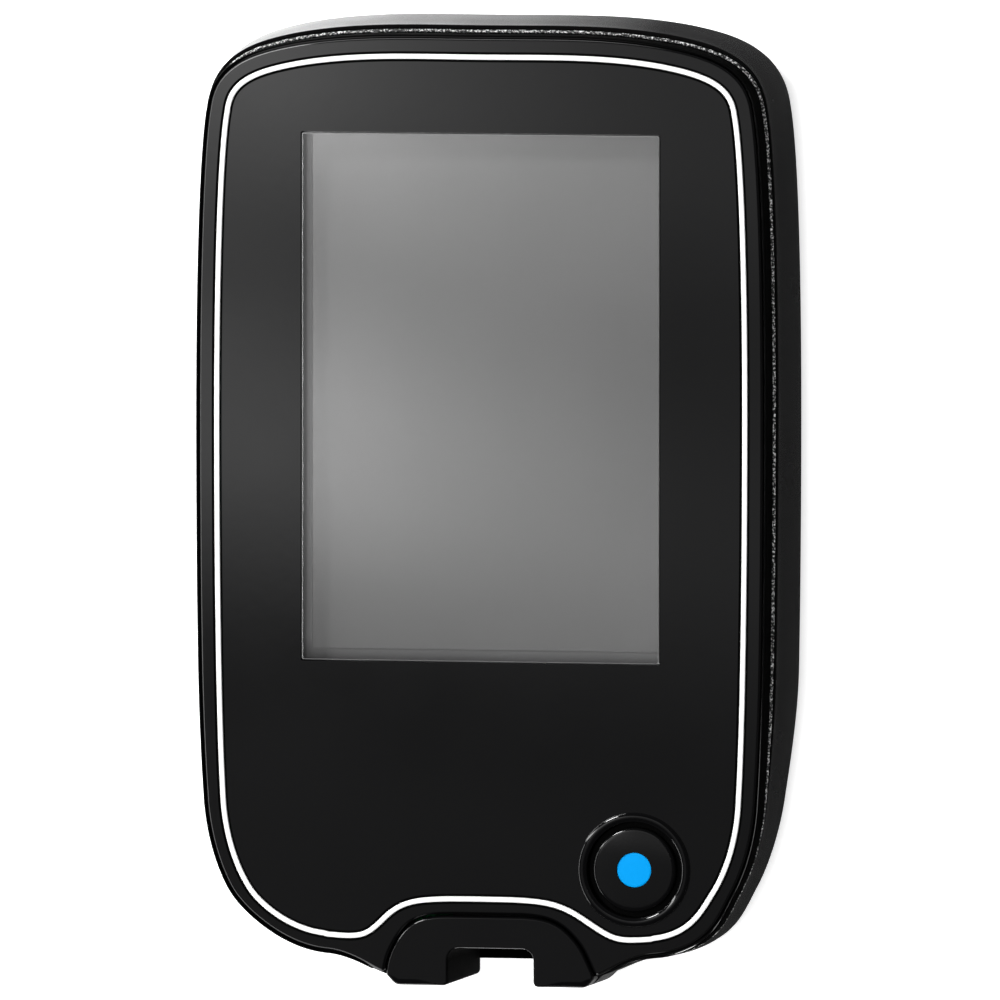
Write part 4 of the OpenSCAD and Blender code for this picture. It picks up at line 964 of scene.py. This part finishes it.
dot = [(0, POCKET_Z), (DOT_R, POCKET_Z), (DOT_R, dome_z(DOT_R) - DIP - 0.03)]
for t in (0.03, 0.1, 0.25, 0.45, 0.7, 1.0):
    r = DOT_R * (1 - t)
    dot.append((r, dome_z(r) - DIP))
spot = new_object("button_spot", *turned(dot, BUTTON, ROUND_STEPS))
finish_piece(spot, "button", "button_blue", M["blue"], "button_dot", sharp=40)

# ---------------------------------------------------------------- floor, world and lamps
# The floor is pale, and lifted to white for the camera. What gloss mirrors of it is bright on
# the left and fades to dark on the right.
FLOOR_HALF, FLOOR_Z = 9000, -0.02
BRIGHT_X, DARK_X = -0.021, 0.0155
MIRRORED_LIFT, CAMERA_LIFT = 0.6, 0.75
floor_mat, nt, sh = material("floor")
sh.inputs["Roughness"].default_value = 0.9
sh.inputs["Specular IOR Level"].default_value = 0.1
sh.inputs["Emission Color"].default_value = (1, 1, 1, 1)
ray = add(nt, "ShaderNodeLightPath").outputs
mirror = maths(nt, "MAXIMUM", ray["Is Glossy Ray"], ray["Is Transmission Ray"])
bright = maths(nt, "MULTIPLY", mirror,
               ramp(nt, split(nt, coordinates(nt))["X"], BRIGHT_X, DARK_X, 1.0, 0.0))
dark = maths(nt, "SUBTRACT", mirror, bright)
nt.links.new(mixed(nt, dark, (0.92,) * 3, (0.08,) * 3), sh.inputs["Base Color"])
nt.links.new(maths(nt, "MULTIPLY_ADD", ray["Is Camera Ray"], CAMERA_LIFT,
                   maths(nt, "MULTIPLY", bright, MIRRORED_LIFT)), sh.inputs["Emission Strength"])
floor = square("floor", FLOOR_HALF, FLOOR_Z, (0, 1, 2, 3), floor_mat)

# The world is plain for diffuse light. Other rays see it bright at the horizon, dim overhead.
WORLD_LEVEL, HORIZON_LEVEL, OVERHEAD_LEVEL = 0.4, 1.0, 0.12
world = bpy.data.worlds.new("world")
scene.world = world
world.use_nodes = True
nt = world.node_tree
seen = ramp(nt, split(nt, coordinates(nt, "Generated"))["Z"], 0.15, 0.6, HORIZON_LEVEL,
            OVERHEAD_LEVEL)
ray = add(nt, "ShaderNodeLightPath").outputs
direct = maths(nt, "MAXIMUM", maths(nt, "MAXIMUM", ray["Is Camera Ray"], ray["Is Glossy Ray"]),
               ray["Is Transmission Ray"])
level = add(nt, "ShaderNodeMix", data_type="FLOAT")
level.inputs["A"].default_value = WORLD_LEVEL
nt.links.new(direct, level.inputs["Factor"])
nt.links.new(seen, level.inputs["B"])
nt.links.new(level.outputs["Result"], nt.nodes["Background"].inputs["Strength"])


def area(name, at, target, size, power):
    data = bpy.data.lights.new(name, "AREA")
    data.shape = "RECTANGLE"
    data.size, data.size_y = size
    data.energy = power
    obj = bpy.data.objects.new(name, data)
    scene.collection.objects.link(obj)
    obj.location = at
    obj.rotation_euler = (Vector(target) - Vector(at)).to_track_quat("-Z", "Y").to_euler()
    return obj


# In metres and watts
area("key", (-0.42, 0.50, 0.52), (0, 0, 0), (0.16, 0.16), 4)
area("strip", (-0.60, 0.24, 0.40), (0, 0, 0), (0.09, 0.7), 1.8)
area("side", (-0.62, -0.12, 0.37), (0, 0, 0), (0.6, 0.09), 1.2)
area("low", (-0.52, 0.58, 0.035), (0, 0, 0.016), (0.6, 0.07), 1.6)
fill = area("fill", (0, 0, 1.5), (0, 0, 0), (0.6, 0.6), 18)
fill.visible_glossy = False


# ---------------------------------------------------------------- card that the face mirrors
def profile(nt, socket, stops):
    """A smooth curve of strength over a length in millimetres."""
    first, last = stops[0][0], stops[-1][0]
    node = add(nt, "ShaderNodeValToRGB")
    band = node.color_ramp
    band.interpolation = "CARDINAL"
    while len(band.elements) < len(stops):
        band.elements.new(0.5)
    for element, (at, value) in zip(band.elements, stops):
        element.position = (at - first) / (last - first)
        element.color = (value, value, value, 1)
    nt.links.new(ramp(nt, socket, first * MM, last * MM, 0, 1), node.inputs["Fac"])
    return node.outputs["Color"]


# A soft card overhead: brighter to the left, dim at the foot end
CARD_SLANT, CARD_GAIN, CARD_BASE = 0.2, 2.05, 0.13
CARD_HALF, CARD_Z, CARD_RISE = 80, 0.3, 0.284
card_mat = bpy.data.materials.new("card")
card_mat.use_nodes = True
nt = card_mat.node_tree
nt.nodes.clear()
place = split(nt, coordinates(nt))
across = profile(nt, place["X"], (
    (-60, 1.0), (-26, 1.0), (-22, 0.95), (-16, 0.75), (-8, 0.55), (2, 0.38), (12, 0.26),
    (22, 0.19), (60, 0.17)))
along = profile(nt, maths(nt, "MULTIPLY_ADD", place["X"], CARD_SLANT, place["Y"]), (
    (-40, 0.02), (-33, 0.04), (-24, 0.01), (-17, 0.1), (-10, 0.32), (-4, 0.56), (3, 0.66),
    (9, 0.62), (18, 0.4), (25, 0.4), (33, 0.66), (40, 0.97), (60, 0.97)))
emit = add(nt, "ShaderNodeEmission")
nt.links.new(maths(nt, "MULTIPLY_ADD", maths(nt, "MULTIPLY", across, along), CARD_GAIN,
                   CARD_BASE), emit.inputs["Strength"])
nt.links.new(emit.outputs[0], add(nt, "ShaderNodeOutputMaterial").inputs["Surface"])

# ---------------------------------------------------------------- camera
# Its tilt towards +X and +Y and its roll, in degrees, and what it looks at
AZ, EL, ROLL = 12.0, 3.5, -0.024
TARGET = Vector((1.993, 0.416, 16.0)) * MM
DIST, PX_PER_MM, SENSOR = 3.0, 10.187, 36
(sin_az, cos_az), (sin_el, cos_el) = sin_cos(AZ), sin_cos(EL)
back_dir = Vector((sin_az * cos_el, sin_el, cos_az * cos_el))

card = square("card", CARD_HALF, 0, (3, 2, 1, 0), card_mat)
card.location = Vector((-back_dir.x / back_dir.z * CARD_RISE,
                        -back_dir.y / back_dir.z * CARD_RISE, CARD_Z))
card.visible_camera = False
card.visible_shadow = False

right = Vector((0, 1, 0)).cross(back_dir).normalized()
up = back_dir.cross(right)
cam_data = bpy.data.cameras.new("camera")
cam = bpy.data.objects.new("camera", cam_data)
scene.collection.objects.link(cam)
turn = Matrix((right, up, back_dir)).transposed() @ Matrix.Rotation(math.radians(-ROLL), 3, "Z")
cam.matrix_world = Matrix.Translation(TARGET + back_dir * DIST) @ turn.to_4x4()
cam_data.sensor_width = SENSOR
# In a picture 1000 pixels wide this lens gives a millimetre PX_PER_MM pixels at DIST metres
cam_data.lens = SENSOR * PX_PER_MM * DIST
cam_data.clip_end = 40
scene.camera = cam
scene.view_settings.view_transform = "Standard"
